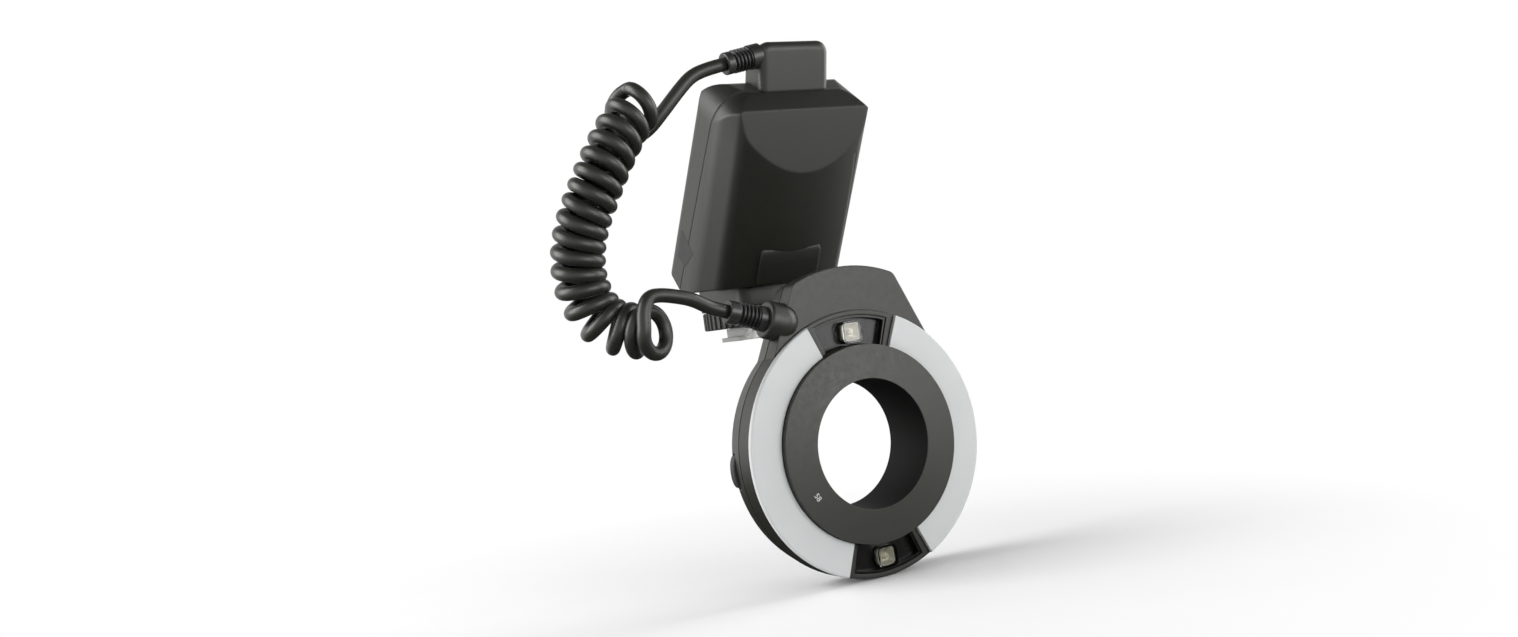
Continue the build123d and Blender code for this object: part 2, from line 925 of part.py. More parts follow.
def curve_samples(controls, steps):
    """Points along a smooth curve that starts and ends at its first and last control points."""
    points = [Vector(place) for place in controls]
    samples = []
    last = len(points) - 3
    for index in range(last + 1):
        start = points[0] if index == 0 else (points[index] + points[index + 1]) / 2
        middle = points[index + 1]
        end = points[-1] if index == last else (points[index + 1] + points[index + 2]) / 2
        for step in range(steps):
            share = step / steps
            samples.append(
                start * (1 - share) ** 2 + middle * 2 * share * (1 - share) + end * share**2
            )
    samples.append(points[-1])
    return samples


class Curl:
    """The curly stretch's centre line: a helix about a bent axis."""

    def __init__(self):
        self.axis = curve_samples(curl_axis, 60)
        count = len(self.axis)
        self.ways = []
        for index in range(count):
            before = self.axis[max(index - 1, 0)]
            after = self.axis[min(index + 1, count - 1)]
            self.ways.append((after - before).normalized())
        steps = [(b - a).length for a, b in zip(self.axis, self.axis[1:])]
        whole = sum(steps)
        turns = [0.0]
        run = 0.0
        for index, step in enumerate(steps):
            bend = math.radians(self.ways[index].get_angle(self.ways[index + 1]))
            share = run / whole
            pitch = curl_pitch_top * (1 - share) + curl_pitch_bottom * share
            turns.append(turns[-1] + (step - curl_radius * bend) / pitch)
            run += step
        self.turns = [turn * curl_turns / turns[-1] for turn in turns]

    def point(self, turn):
        """The centre line's point after this many turns."""
        high = next(
            (index for index, value in enumerate(self.turns) if value >= turn and index),
            len(self.turns) - 1,
        )
        low = high - 1
        share = (turn - self.turns[low]) / (self.turns[high] - self.turns[low])
        centre = self.axis[low] * (1 - share) + self.axis[high] * share
        way = (self.ways[low] * (1 - share) + self.ways[high] * share).normalized()
        viewer = Vector(0, -1, 0)
        front = (viewer - way * way.dot(viewer)).normalized()
        side = front.cross(way)
        phase = 2 * math.pi * (turn - curl_turns) + math.radians(curl_end_phase)
        return centre + (front * math.cos(phase) + side * math.sin(phase)) * curl_radius

    def way(self, turn):
        """The centre line's direction after this many turns."""
        step = 0.02
        before = self.point(max(turn - step, 0))
        after = self.point(min(turn + step, curl_turns))
        return (after - before).normalized()


def biarc_joint(start, start_way, end, end_way):
    """Where two arcs meet that leave start and reach end in the given directions."""
    span = end - start
    both = start_way + end_way
    spare = 2 * (1 - start_way.dot(end_way))
    reach = (
        -span.dot(both) + math.sqrt(span.dot(both) ** 2 + spare * span.dot(span))
    ) / spare
    return (start + end + (start_way - end_way) * reach) / 2


def arc_end_way(start, start_way, end):
    """The direction at the end of an arc that leaves start this way."""
    chord = end - start
    return chord * (2 * chord.dot(start_way) / chord.dot(chord)) - start_way


def arc_radius(start, start_way, end):
    chord = end - start
    half_turn = math.radians(chord.get_angle(start_way))
    return chord.length / 2 / math.sin(half_turn)


def arc_points(start, start_way, end, steps):
    """Points along an arc, its end left out."""
    chord = end - start
    half_turn = math.radians(chord.get_angle(start_way))
    radius = chord.length / 2 / math.sin(half_turn)
    inward = (chord.normalized() - start_way * math.cos(half_turn)).normalized()
    places = []
    for index in range(steps):
        angle = 2 * half_turn * index / steps
        places.append(
            start
            + start_way * (radius * math.sin(angle))
            + inward * (radius * (1 - math.cos(angle)))
        )
    return places


def curl_stations():
    """The points that the curly tube's arcs run between, each with its direction."""
    curl = Curl()
    wire = 2 * wire_radius
    start = Vector(upper_route[-1])
    start_way = (start - Vector(upper_route[-2])).normalized()
    end = Vector(lower_route[0])
    end_way = (Vector(lower_route[1]) - end).normalized()
    stations = [(start + start_way * wire, start_way)]
    pieces = round(4 * curl_turns)
    for index in range(pieces + 1):
        turn = curl_turns * index / pieces
        stations.append((curl.point(turn), curl.way(turn)))
    stations.append((end - end_way * wire, end_way))
    return start, stations, end


curl_start, stations, curl_end = curl_stations()
curl_radii = []
curl_places = [curl_start]
with BuildPart() as cord_coil:
    with BuildLine() as curl_path:
        Line(curl_start, stations[0][0])
        for (here, here_way), (there, there_way) in zip(stations, stations[1:]):
            joint = biarc_joint(here, here_way, there, there_way)
            joint_way = arc_end_way(here, here_way, joint)
            TangentArc(here, joint, tangent=here_way)
            TangentArc(joint, there, tangent=joint_way)
            curl_radii.append(arc_radius(here, here_way, joint))
            curl_radii.append(arc_radius(joint, joint_way, there))
            curl_places += arc_points(here, here_way, joint, 6)
            curl_places += arc_points(joint, joint_way, there, 6)
        Line(stations[-1][0], curl_end)
    with BuildSketch(Plane(origin=curl_start, z_dir=stations[0][1])):
        Circle(wire_radius)
    sweep()
curl_places += [stations[-1][0], curl_end]
curl_length = sum(edge.length for edge in curl_path.edges())
curl_section = math.pi * wire_radius**2


def least_gap(places, skip):
    """The least clear gap between stretches of the tube further apart than skip along it."""
    flat = [tuple(place) for place in places]
    runs = [0.0]
    for before, after in zip(flat, flat[1:]):
        runs.append(runs[-1] + math.dist(before, after))
    least = skip
    for low, place in enumerate(flat):
        for high in range(low + 1, len(flat)):
            if runs[high] - runs[low] > skip:
                least = min(least, math.dist(place, flat[high]))
    return least - 2 * wire_radius


print("curl radii", round(min(curl_radii), 2), "to", round(max(curl_radii), 2))
print("curl least gap to itself", round(least_gap(curl_places, 5 * wire_radius), 3))
print("curl length", round(curl_length, 1))
print("curl volume over section times length", cord_coil.part.volume / curl_section / curl_length)
save(cord_coil.part, "cord_coil")

# Ring head shells


def hump_face():
    """The hump's outline above the ring, as a face of its own."""
    with BuildSketch(Plane.XY, mode=Mode.PRIVATE) as hump:
        with BuildLine():
            Line((-hump_foot[0], hump_foot[1]), (-hump_corner[0], hump_corner[1]))
            ThreePointArc(
                (-hump_corner[0], hump_corner[1]), (0, hump_top), (hump_corner[0], hump_corner[1])
            )
            Line((hump_corner[0], hump_corner[1]), hump_foot)
            Line(hump_foot, (-hump_foot[0], hump_foot[1]))
        make_face()
        for way in (-1, 1):
            corner = (way * hump_corner[0], hump_corner[1])
            fillet(hump.vertices().sort_by_distance(corner)[0], hump_corner_round)
    return hump.sketch


def head_outline(depth, inset):
    """The head's whole outline at a depth, drawn in by inset."""
    with BuildSketch(ring_plane(depth)) as outline:
        add(hump_face())
        Circle(ring_radius)
        if inset:
            offset(amount=-inset)
    return outline.sketch


def ring_sector(inner, outer, start, end):
    """A stretch of ring between two angles, as a face of its own."""
    with BuildSketch(Plane.XY, mode=Mode.PRIVATE) as sector:
        with BuildLine():
            outer_arc = CenterArc((0, 0), outer, start, end - start)
            inner_arc = CenterArc((0, 0), inner, start, end - start)
            Line(outer_arc @ 0, inner_arc @ 0)
            Line(outer_arc @ 1, inner_arc @ 1)
        make_face()
    return sector.sketch


pocket_inner = bore_radius + pocket_wall
pocket_outer = ring_radius - rim_wall
top_window = (right_diffuser[1] + rail_angle, left_diffuser[0] - rail_angle)
bottom_window = (left_diffuser[1] - 360 + rail_angle, right_diffuser[0] - rail_angle)
screw_angles = [45, 135, 225, 315]

with BuildPart() as head_front_shell:
    extrude(head_outline(seam_depth, 0), amount=seam_depth - hump_depth)
    with BuildSketch(ring_plane(hump_depth)):
        Circle(ring_radius)
    extrude(amount=hump_depth - diffuser_face)
    with BuildSketch(ring_plane(seam_depth)):
        add(hump_face())
        offset(amount=-head_wall)
        Circle(ring_radius, mode=Mode.SUBTRACT)
    extrude(amount=seam_depth - hump_depth - head_wall, mode=Mode.SUBTRACT)
    with BuildSketch(ring_plane(pocket_floor)):
        for start, end in (left_diffuser, right_diffuser):
            add(ring_sector(pocket_inner, pocket_outer, start, end))
        for start, end in (top_window, bottom_window):
            add(ring_sector(bore_radius - overrun, pocket_outer, start, end))
    extrude(amount=pocket_floor, mode=Mode.SUBTRACT)
    with BuildSketch(ring_plane(seam_depth)):
        Circle(bore_radius)
    extrude(amount=seam_depth, mode=Mode.SUBTRACT)
    with BuildSketch(ring_plane(seam_depth)):
        with PolarLocations(head_screw_ring, len(screw_angles), start_angle=screw_angles[0]):
            Circle(screw_radius + shaft_gap)
    extrude(amount=seam_depth - pocket_floor, mode=Mode.SUBTRACT)
    add(cable_boss.part, mode=Mode.SUBTRACT)
save(head_front_shell.part, "head_front_shell")


def release_place(way):
    """The box of one release button's pad: its centre along X, Y and Z."""
    middle = (button_out + button_in) / 2
    return (way * middle, button_depth - ring_reach, button_centre - ring_drop)


with BuildPart() as head_rear_shell:
    loft([head_outline(rear_depth, rear_taper), head_outline(seam_depth + seam_step, 0)])
    extrude(head_outline(seam_depth + seam_step, seam_step), amount=seam_step)
    back_face = head_rear_shell.faces().sort_by(Axis.Y)[-1]
    fillet(back_face.edges(), rear_round)
    with BuildPart(mode=Mode.SUBTRACT):
        loft(
            [
                head_outline(rear_depth - head_wall, rear_taper + head_wall),
                head_outline(seam_depth, head_wall),
            ]
        )
        with BuildSketch(ring_plane(rear_depth)):
            Circle(bore_radius + bore_wall)
            with PolarLocations(head_screw_ring, len(screw_angles), start_angle=screw_angles[0]):
                Circle(head_post_radius)
        extrude(amount=rear_depth, mode=Mode.SUBTRACT)
    with BuildSketch(ring_plane(rear_depth)):
        Circle(bore_radius)
        with PolarLocations(head_screw_ring, len(screw_angles), start_angle=screw_angles[0]):
            Circle(screw_radius + shaft_gap)
    extrude(amount=rear_depth, mode=Mode.SUBTRACT)
    with BuildSketch(ring_plane(rear_depth)):
        with PolarLocations(head_screw_ring, len(screw_angles), start_angle=screw_angles[0]):
            Circle(screw_head_radius + shaft_gap)
    extrude(amount=screw_head_height, mode=Mode.SUBTRACT)
    for way in (-1, 1):
        with Locations(release_place(way)):
            Box(
                button_out - button_in + overrun,
                button_width + 2 * cap_gap,
                button_length + 2 * cap_gap,
                mode=Mode.SUBTRACT,
            )
        latch_middle = way * (latch_out + latch_in) / 2
        with Locations((latch_middle, latch_depth - ring_reach, button_centre - ring_drop)):
            Box(latch_out - latch_in, latch_width, latch_length, mode=Mode.SUBTRACT)
    add(cable_boss.part, mode=Mode.SUBTRACT)
save(head_rear_shell.part, "head_rear_shell")

# Light pieces of the head

for side, (start, end) in (("left", left_diffuser), ("right", right_diffuser)):
    with BuildPart() as diffuser:
        with BuildSketch(ring_plane(diffuser_face)):
            add(ring_sector(bore_radius, ring_radius, start, end))
        extrude(amount=diffuser_face)
        front_edges = diffuser.faces().sort_by(Axis.Y)[0].edges().filter_by(GeomType.CIRCLE)
        fillet(front_edges.sort_by(SortBy.RADIUS)[-1], diffuser_edge)
        inner = pocket_inner + slip
        outer = pocket_outer - slip
        with BuildSketch(ring_plane(diffuser_face + flange_depth)):
            add(ring_sector(inner, inner + flange_wall, start + end_inset_angle, end - end_inset_angle))
            add(ring_sector(outer - flange_wall, outer, start + end_inset_angle, end - end_inset_angle))
        extrude(amount=flange_depth)
    save(diffuser.part, "diffuser_" + side)
    with BuildPart() as reflector:
        with BuildSketch(ring_plane(pocket_floor)):
            add(ring_sector(
                reflector_inner, reflector_outer, start + end_inset_angle, end - end_inset_angle
            ))
        extrude(amount=pocket_floor - reflector_front)
        with BuildSketch(ring_plane(pocket_floor - reflector_wall)):
            add(ring_sector(
                reflector_inner + reflector_wall,
                reflector_outer - reflector_wall,
                start + end_inset_angle,
                end - end_inset_angle,
            ))
        extrude(amount=pocket_floor, mode=Mode.SUBTRACT)
    save(reflector.part, "reflector_" + side)
    with BuildPart() as flash_tube:
        with BuildLine(ring_plane(tube_depth)) as tube_line:
            CenterArc(
                (0, 0),
                tube_ring,
                start + 2 * end_inset_angle,
                end - start - 4 * end_inset_angle,
            )
        with BuildSketch(Plane(origin=tube_line.line @ 0, z_dir=tube_line.line % 0)):
            Circle(tube_radius)
        sweep()
    save(flash_tube.part, "flash_tube_" + side)

lamps = [
    ("top", top_window, lamp_top_ring, lamp_top_angle),
    ("bottom", bottom_window, lamp_bottom_ring, lamp_bottom_angle),
]


def lamp_spot(ring, angle):
    return (ring * math.cos(math.radians(angle)), ring * math.sin(math.radians(angle)))


for side, (start, end), ring, angle in lamps:
    edge_angle = math.degrees(bezel_wall / ring)
    with BuildPart() as bezel:
        with BuildSketch(ring_plane(pocket_floor)):
            add(ring_sector(bore_radius + slip, pocket_outer - slip, start, end))
        extrude(amount=pocket_floor - bezel_front)
        with BuildSketch(ring_plane(bezel_floor)):
            add(ring_sector(
                bore_radius - overrun,
                pocket_outer - slip - bezel_wall,
                start + edge_angle,
                end - edge_angle,
            ))
        extrude(amount=bezel_floor, mode=Mode.SUBTRACT)
        with BuildSketch(ring_plane(bezel_floor)):
            Circle(bore_radius + slip)
        extrude(amount=-bezel_floor, mode=Mode.SUBTRACT)
    save(bezel.part, "lamp_bezel_" + side)
    with BuildPart() as lens:
        with BuildSketch(ring_plane(bezel_floor)):
            with Locations(Location(lamp_spot(ring, angle), angle)):
                RectangleRounded(lamp_size, lamp_size, lamp_round)
        extrude(amount=bezel_floor - lamp_front)
        with BuildSketch(ring_plane(bezel_floor)):
            with Locations(Location(lamp_spot(ring, angle), angle)):
                RectangleRounded(
                    lamp_size - 2 * lamp_wall, lamp_size - 2 * lamp_wall, lamp_round - lamp_wall
                )
        extrude(amount=bezel_floor - lamp_front - lamp_wall, mode=Mode.SUBTRACT)
    save(lens.part, "lamp_lens_" + side)

with BuildPart() as lamp_bulbs:
    for side, window, ring, angle in lamps:
        with BuildSketch(ring_plane(bezel_floor)):
            with Locations(lamp_spot(ring, angle)):
                Circle(bulb_radius)
        extrude(amount=bulb_length)
save(lamp_bulbs.part, "lamp_bulbs")

with BuildPart() as head_board:
    with BuildSketch(ring_plane(head_board_depth + head_board_thickness)):
        Circle(pocket_outer - head_wall)
        Circle(bore_radius + bore_wall + slip, mode=Mode.SUBTRACT)
        with PolarLocations(head_screw_ring, len(screw_angles), start_angle=screw_angles[0]):
            Circle(head_post_radius + slip, mode=Mode.SUBTRACT)
    extrude(amount=head_board_thickness)
save(head_board.part, "head_board")

with BuildPart() as head_screws:
    for reach, radius in (
        (rear_depth - pocket_floor - slip, screw_radius),
        (screw_head_height, screw_head_radius),
    ):
        with BuildSketch(ring_plane(rear_depth)):
            with PolarLocations(head_screw_ring, len(screw_angles), start_angle=screw_angles[0]):
                Circle(radius)
        extrude(amount=reach)
save(head_screws.part, "head_screws")

flange_width = 2 * (rear_depth - head_wall - slip - button_depth)
for side, way in (("left", -1), ("right", 1)):
    pad_x, pad_y, pad_z = release_place(way)
    with BuildPart() as release_button:
        with Locations((pad_x, pad_y, pad_z)):
            Box(button_out - button_in, button_width, button_length)
        flange_x = way * (button_in - button_flange / 2)
        with Locations((flange_x, pad_y, pad_z)):
            Box(button_flange, flange_width, button_length + 2 * button_flange)
        stem_x = way * (button_in + button_stem_in) / 2
        with Locations((stem_x, pad_y, pad_z)):
            Box(button_in - button_stem_in, button_stem, button_stem)
    save(release_button.part, "release_button_" + side)

with BuildPart() as latch_blocks:
    for way in (-1, 1):
        latch_middle = way * (latch_out + latch_in) / 2
        with Locations((latch_middle, latch_depth - ring_reach, button_centre - ring_drop)):
            Box(latch_out - latch_in, latch_width, latch_length)
save(latch_blocks.part, "latch_blocks")

# Adapter ring

thread_end = rear_depth + thread_length
groove_front = latch_depth - groove_width / 2
with BuildPart() as adapter_ring:
    with BuildSketch(ring_section):
        with BuildLine():
            Polyline(
                (adapter_bore, -annulus_bore_proud),
                (adapter_radius, -annulus_edge_proud),
                (adapter_radius, groove_front),
                (adapter_radius - groove_depth, groove_front),
                (adapter_radius - groove_depth, groove_front + groove_width),
                (adapter_radius, groove_front + groove_width),
                (adapter_radius, sleeve_depth),
                (adapter_radius - sleeve_wall, sleeve_depth),
                (adapter_radius - sleeve_wall, annulus_thickness - annulus_edge_proud),
                (thread_radius + lens_seat, annulus_thickness - annulus_edge_proud),
                (thread_radius + lens_seat, rear_depth),
                (thread_radius, rear_depth),
                (thread_radius, thread_end),
                (adapter_bore, thread_end),
                close=True,
            )
        make_face()
    revolve(axis=ring_axis)
save(adapter_ring.part, "adapter_ring")
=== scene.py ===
import math

import bmesh
import bpy
from mathutils import Matrix, Vector


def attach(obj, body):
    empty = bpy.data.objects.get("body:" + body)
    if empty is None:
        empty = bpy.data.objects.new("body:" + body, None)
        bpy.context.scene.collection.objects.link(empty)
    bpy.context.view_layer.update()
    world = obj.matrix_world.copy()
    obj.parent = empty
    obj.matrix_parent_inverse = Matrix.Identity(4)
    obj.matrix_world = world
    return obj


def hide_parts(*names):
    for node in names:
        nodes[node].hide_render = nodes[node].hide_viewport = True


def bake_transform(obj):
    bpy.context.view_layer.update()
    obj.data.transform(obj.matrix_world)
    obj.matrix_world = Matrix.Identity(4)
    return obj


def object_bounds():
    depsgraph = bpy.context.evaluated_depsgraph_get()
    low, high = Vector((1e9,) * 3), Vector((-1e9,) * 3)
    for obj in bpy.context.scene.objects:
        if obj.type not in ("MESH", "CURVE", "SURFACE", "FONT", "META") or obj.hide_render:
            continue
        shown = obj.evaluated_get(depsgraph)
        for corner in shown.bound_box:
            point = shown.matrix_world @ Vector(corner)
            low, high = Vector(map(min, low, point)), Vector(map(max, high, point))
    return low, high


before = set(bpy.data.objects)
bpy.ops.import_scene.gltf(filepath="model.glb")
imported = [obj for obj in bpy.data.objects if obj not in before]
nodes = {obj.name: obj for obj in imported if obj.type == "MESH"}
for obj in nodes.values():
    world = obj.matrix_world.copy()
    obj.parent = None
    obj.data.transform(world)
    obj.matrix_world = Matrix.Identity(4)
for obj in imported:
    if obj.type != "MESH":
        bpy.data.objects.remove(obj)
cad_box = [[float(x) for x in corner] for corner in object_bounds()]
MM = 0.001

# Camera: the photograph's viewpoint, worked out in the object's own frame
camera_data = bpy.data.cameras.new("camera")
camera_data.lens = 33.20
camera_data.sensor_width = 36
camera_data.clip_start = 0.01
camera = bpy.data.objects.new("camera", camera_data)
bpy.context.collection.objects.link(camera)
camera.matrix_world = Matrix((
    (0.8710, 0.1182, -0.4769, -0.31432),
    (-0.4726, -0.0641, -0.8790, -0.59291),
    (-0.1344, 0.9909, 0.0005, 0.00937),
    (0, 0, 0, 1),
))
bpy.context.scene.camera = camera
bpy.context.scene.view_settings.view_transform = "Standard"

# Directions of the leaning controller, and the ring's middle
LEAN = math.radians(36)
UP_WAY = Vector((0, -math.sin(LEAN), math.cos(LEAN)))
FORWARD = Vector((0, -math.cos(LEAN), -math.sin(LEAN)))
RIGHT = Vector((1, 0, 0))
RING = Vector((0, -95, -49))


def lean_point(side, forward, up):
    return RIGHT * side + FORWARD * forward + UP_WAY * up


def ring_point(x, z, depth):
    return RING + Vector((x, depth, z))


# Meshes


def make_object(name, mesh_source, smooth=True):
    mesh = bpy.data.meshes.new(name)
    mesh_source.to_mesh(mesh)
    mesh_source.free()
    mesh.transform(Matrix.Scale(MM, 4))
    for polygon in mesh.polygons:
        polygon.use_smooth = smooth
    thing = bpy.data.objects.new(name, mesh)
    bpy.context.collection.objects.link(thing)
    return thing


def bridge(mesh, low, high):
    count = len(low)
    for index in range(count):
        after = (index + 1) % count
        mesh.faces.new((low[index], low[after], high[after], high[index]))


def loops_mesh(mesh, loops):
    """Joins closed loops into a skin and caps both its ends."""
    rings = [[mesh.verts.new(place) for place in loop] for loop in loops]
    for low, high in zip(rings, rings[1:]):
        bridge(mesh, low, high)
    mesh.faces.new(tuple(reversed(rings[0])))
    mesh.faces.new(tuple(rings[-1]))


def square_to(way):
    way = Vector(way).normalized()
    other = Vector((0, 0, 1)) if abs(way.z) < 0.9 else Vector((1, 0, 0))
    first = (other - way * way.dot(other)).normalized()
    return first, way.cross(first)


def lathe(mesh, profile, origin, way, segments=48):
    """Adds a turned form: profile is (distance along way, radius) pairs."""
    first, second = square_to(way)
    way = Vector(way).normalized()
    loops = []
    for along, radius in profile:
        loop = []
        for index in range(segments):
            angle = 2 * math.pi * index / segments
            loop.append(
                Vector(origin) + way * along
                + (first * math.cos(angle) + second * math.sin(angle)) * radius
            )
        loops.append(loop)
    loops_mesh(mesh, loops)


def soften(thing, width, segments=3, angle=30):
    modifier = thing.modifiers.new("soften", "BEVEL")
    modifier.width = width * MM
    modifier.segments = segments
    modifier.limit_method = "ANGLE"
    modifier.angle_limit = math.radians(angle)
    modifier.harden_normals = True
    return thing


# Cord: one smooth spline from end to end, its leads and turns moved onto the photograph
UPPER_ROUTE = [
    (-32.5, -73.0, 117.6),
    (-40.2, -73.0, 116.11),
    (-48.4, -73.0, 113.4),
    (-54.3, -72.5, 108.3),
    (-63.0, -71.5, 99.3),
    (-69.6, -68.5, 92.0),
    (-76.0, -65.3, 89.3),
    (-81.2, -64.8, 92.0),
    (-85.0, -66.8, 99.5),
    (-83.2, -71.2, 106.0),
]
CURL_AXIS = [
    (-69.8, -74.22, 105.17),
    (-78.9, -75.89, 99.51),
    (-88.29, -78.19, 88.39),
    (-96.57, -79.24, 76.47),
    (-102.37, -77.87, 65.38),
    (-107.11, -74.28, 54.28),
    (-109.34, -71.35, 42.3),
    (-108.5, -69.55, 29.03),
    (-102.03, -72.68, 14.34),
    (-88.96, -81.45, 9.79),
    (-86.22, -90.82, 9.08),
]
LOWER_ROUTE = [
    (-93.4, -93.0, 18.8),
    (-90.1, -91.8, 23.3),
    (-84.8, -90.8, 23.7),
    (-77.6, -90.0, 22.4),
    (-69.9, -89.0, 20.4),
    (-63.4, -87.6, 17.0),
    (-59.6, -87.0, 15.438),
    (-54.3, -87.0, 13.8),
]
UPPER_GLAND = Vector((-17.0, -73.0, 120.6))
LOWER_GLAND = Vector((-37.8, -87.0, 8.7))
WIRE_RADIUS = 2.9
CURL_RADIUS_TOP = 7.8
CURL_RADIUS_BOTTOM = 8.5
CURL_TURNS = 17.8
CURL_START = 0.5625
POINTS_PER_TURN = 16


def curve_samples(controls, steps):
    """Points along the curl's axis, which starts and ends at its first and last control points."""
    points = [Vector(place) for place in controls]
    samples = []
    last = len(points) - 3
    for index in range(last + 1):
        start = points[0] if index == 0 else (points[index] + points[index + 1]) / 2
        middle = points[index + 1]
        end = points[-1] if index == last else (points[index + 1] + points[index + 2]) / 2
        for step in range(steps):
            share = step / steps
            samples.append(
                start * (1 - share) ** 2 + middle * 2 * share * (1 - share) + end * share ** 2
            )
    samples.append(points[-1])
    return samples


def curl_controls():
    """The helix as control points of the cord's spline, the same number of turns to each span."""
    axis = curve_samples(CURL_AXIS, 60)
    last = len(axis) - 1
    ways = [
        (axis[min(index + 1, last)] - axis[max(index - 1, 0)]).normalized()
        for index in range(last + 1)
    ]
    spread = 1 / math.cos(math.pi / POINTS_PER_TURN)
    pieces = round((CURL_TURNS - CURL_START) * POINTS_PER_TURN)
    controls = []
    for piece in range(pieces + 1):
        turn = CURL_TURNS - (pieces - piece) / POINTS_PER_TURN
        run = turn / CURL_TURNS * last
        low = min(int(run), last - 1)
        share = run - low
        centre = axis[low].lerp(axis[low + 1], share)
        way = ways[low].lerp(ways[low + 1], share).normalized()
        viewer = Vector((0, -1, 0))
        front = (viewer - way * way.dot(viewer)).normalized()
        side = front.cross(way)
        phase = 2 * math.pi * (turn - CURL_TURNS)
        whole = turn / CURL_TURNS
        radius = CURL_RADIUS_TOP * (1 - whole) + CURL_RADIUS_BOTTOM * whole
        controls.append(
            centre + (front * math.cos(phase) + side * math.sin(phase)) * radius * spread
        )
    return controls


def spline_points(controls, resolution):
    """Points read from the smooth spline that has these control points."""
    data = bpy.data.curves.new("route", "CURVE")
    data.dimensions = "3D"
    data.resolution_u = resolution
    spline = data.splines.new("NURBS")
    spline.points.add(len(controls) - 1)
    for point, place in zip(spline.points, controls):
        point.co = (*place, 1.0)
    spline.order_u = 3
    spline.use_endpoint_u = True
    holder = bpy.data.objects.new("route", data)
    bpy.context.collection.objects.link(holder)
    bpy.context.view_layer.update()
    mesh = bpy.data.meshes.new_from_object(holder)
    points = [vertex.co.copy() for vertex in mesh.vertices]
    bpy.data.objects.remove(holder)
    bpy.data.meshes.remove(mesh)
    return points


def tube(name, points, radius, segments=20):
    """A tube whose rings are carried along the line without twisting."""
    mesh = bmesh.new()
    loops = []
    normal = None
    for index, place in enumerate(points):
        before = points[max(index - 1, 0)]
        after = points[min(index + 1, len(points) - 1)]
        way = (after - before).normalized()
        if normal is None:
            normal = square_to(way)[0]
        normal = (normal - way * way.dot(normal)).normalized()
        other = way.cross(normal)
        loops.append([
            place + (
                normal * math.cos(2 * math.pi * step / segments)
                + other * math.sin(2 * math.pi * step / segments)
            ) * radius
            for step in range(segments)
        ])
    loops_mesh(mesh, loops)
    return make_object(name, mesh)


cord_controls = [Vector(place) for place in UPPER_ROUTE]
cord_controls += curl_controls()
cord_controls += [Vector(place) for place in LOWER_ROUTE]
cord_path = spline_points(cord_controls, 4)
cord = tube("cord", cord_path, WIRE_RADIUS)

# Strain reliefs: soft round ribs on a core


def gland_way(side):
    start = UPPER_GLAND if side == "upper" else LOWER_GLAND
    end = Vector(UPPER_ROUTE[0]) if side == "upper" else Vector(LOWER_ROUTE[-1])
    return start, (end - start).normalized()


COLLAR_LENGTH = 3.4
BOOT_LENGTH = 8.8
BOOT_RIBS = 5
BOOT_END_RADIUS = 3.6
BOOT_RADIUS = 3.8
RIB_HEIGHT = 1.2
RIB_SHARE = 0.6
RIB_STEPS = 14
RIB_ROUNDNESS = 3.2
RIB_GAP = 0.02


def make_boot(side):
    start, way = gland_way(side)
    step = BOOT_LENGTH / BOOT_RIBS
    profile = [(COLLAR_LENGTH - 0.3, BOOT_END_RADIUS), (COLLAR_LENGTH - 0.3, BOOT_RADIUS)]
    for index in range(BOOT_RIBS):
        base = COLLAR_LENGTH + index * step
        width = RIB_SHARE * step
        for sample in range(RIB_STEPS + 1):
            share = sample / RIB_STEPS
            bulge = (1 - abs(2 * share - 1) ** RIB_ROUNDNESS) ** (1 / RIB_ROUNDNESS)
            profile.append((base + RIB_GAP + width * share, BOOT_RADIUS + RIB_HEIGHT * bulge))
    profile.append((COLLAR_LENGTH + BOOT_LENGTH - RIB_GAP, BOOT_RADIUS))
    profile.append((COLLAR_LENGTH + BOOT_LENGTH + 0.2, BOOT_END_RADIUS))
    mesh = bmesh.new()
    lathe(mesh, profile, start, way, 64)
    return make_object(side + "_boot", mesh)


upper_boot = make_boot("upper")
lower_boot = make_boot("lower")

# Modelling bulbs and the bright cups behind their lenses: side, distance from the middle, angle
LAMPS = [("top", 47.4, 90.0), ("bottom", 48.4, -87.0)]
BULB_DEPTH = 5.5
DOME_STEPS = 12
CUP_CORNER_SHARE = 0.26
CUP_LOOPS = (
    (5.4, 7.5), (2.7, 7.5), (2.7, 7.2), (3.2, 6.9), (4.0, 6.2), (4.8, 5.0), (5.25, 3.6),
)


def lamp_frame(ring, angle):
    radial = Vector((math.cos(math.radians(angle)), 0, math.sin(math.radians(angle))))
    across = Vector((-radial.z, 0, radial.x))
    centre = RING + radial * ring
    return centre, radial, across


bulb_mesh = bmesh.new()
for _, ring, angle in LAMPS:
    centre = lamp_frame(ring, angle)[0]
    profile = [(0, 0.9), (0.15, 1.1), (0.5, 1.15), (0.6, 1.45)]
    for sample in range(DOME_STEPS + 1):
        turn = math.pi / 2 * sample / DOME_STEPS
        profile.append((1.4 + 1.5 * math.sin(turn), max(1.5 * math.cos(turn), 0.02)))
    lathe(bulb_mesh, profile, centre + Vector((0, BULB_DEPTH, 0)), (0, -1, 0), 32)
bulbs = make_object("modelling_bulbs", bulb_mesh)


def rounded_square(centre, radial, across, size, corner, depth, steps=6):
    places = []
    half = size / 2 - corner
    for quarter, (a, b) in enumerate(((1, 1), (-1, 1), (-1, -1), (1, -1))):
        for step in range(steps + 1):
            angle = math.pi / 2 * (quarter + step / steps)
            u = a * half + corner * math.cos(angle)
            v = b * half + corner * math.sin(angle)
            places.append(centre + radial * u + across * v + Vector((0, depth, 0)))
    return places


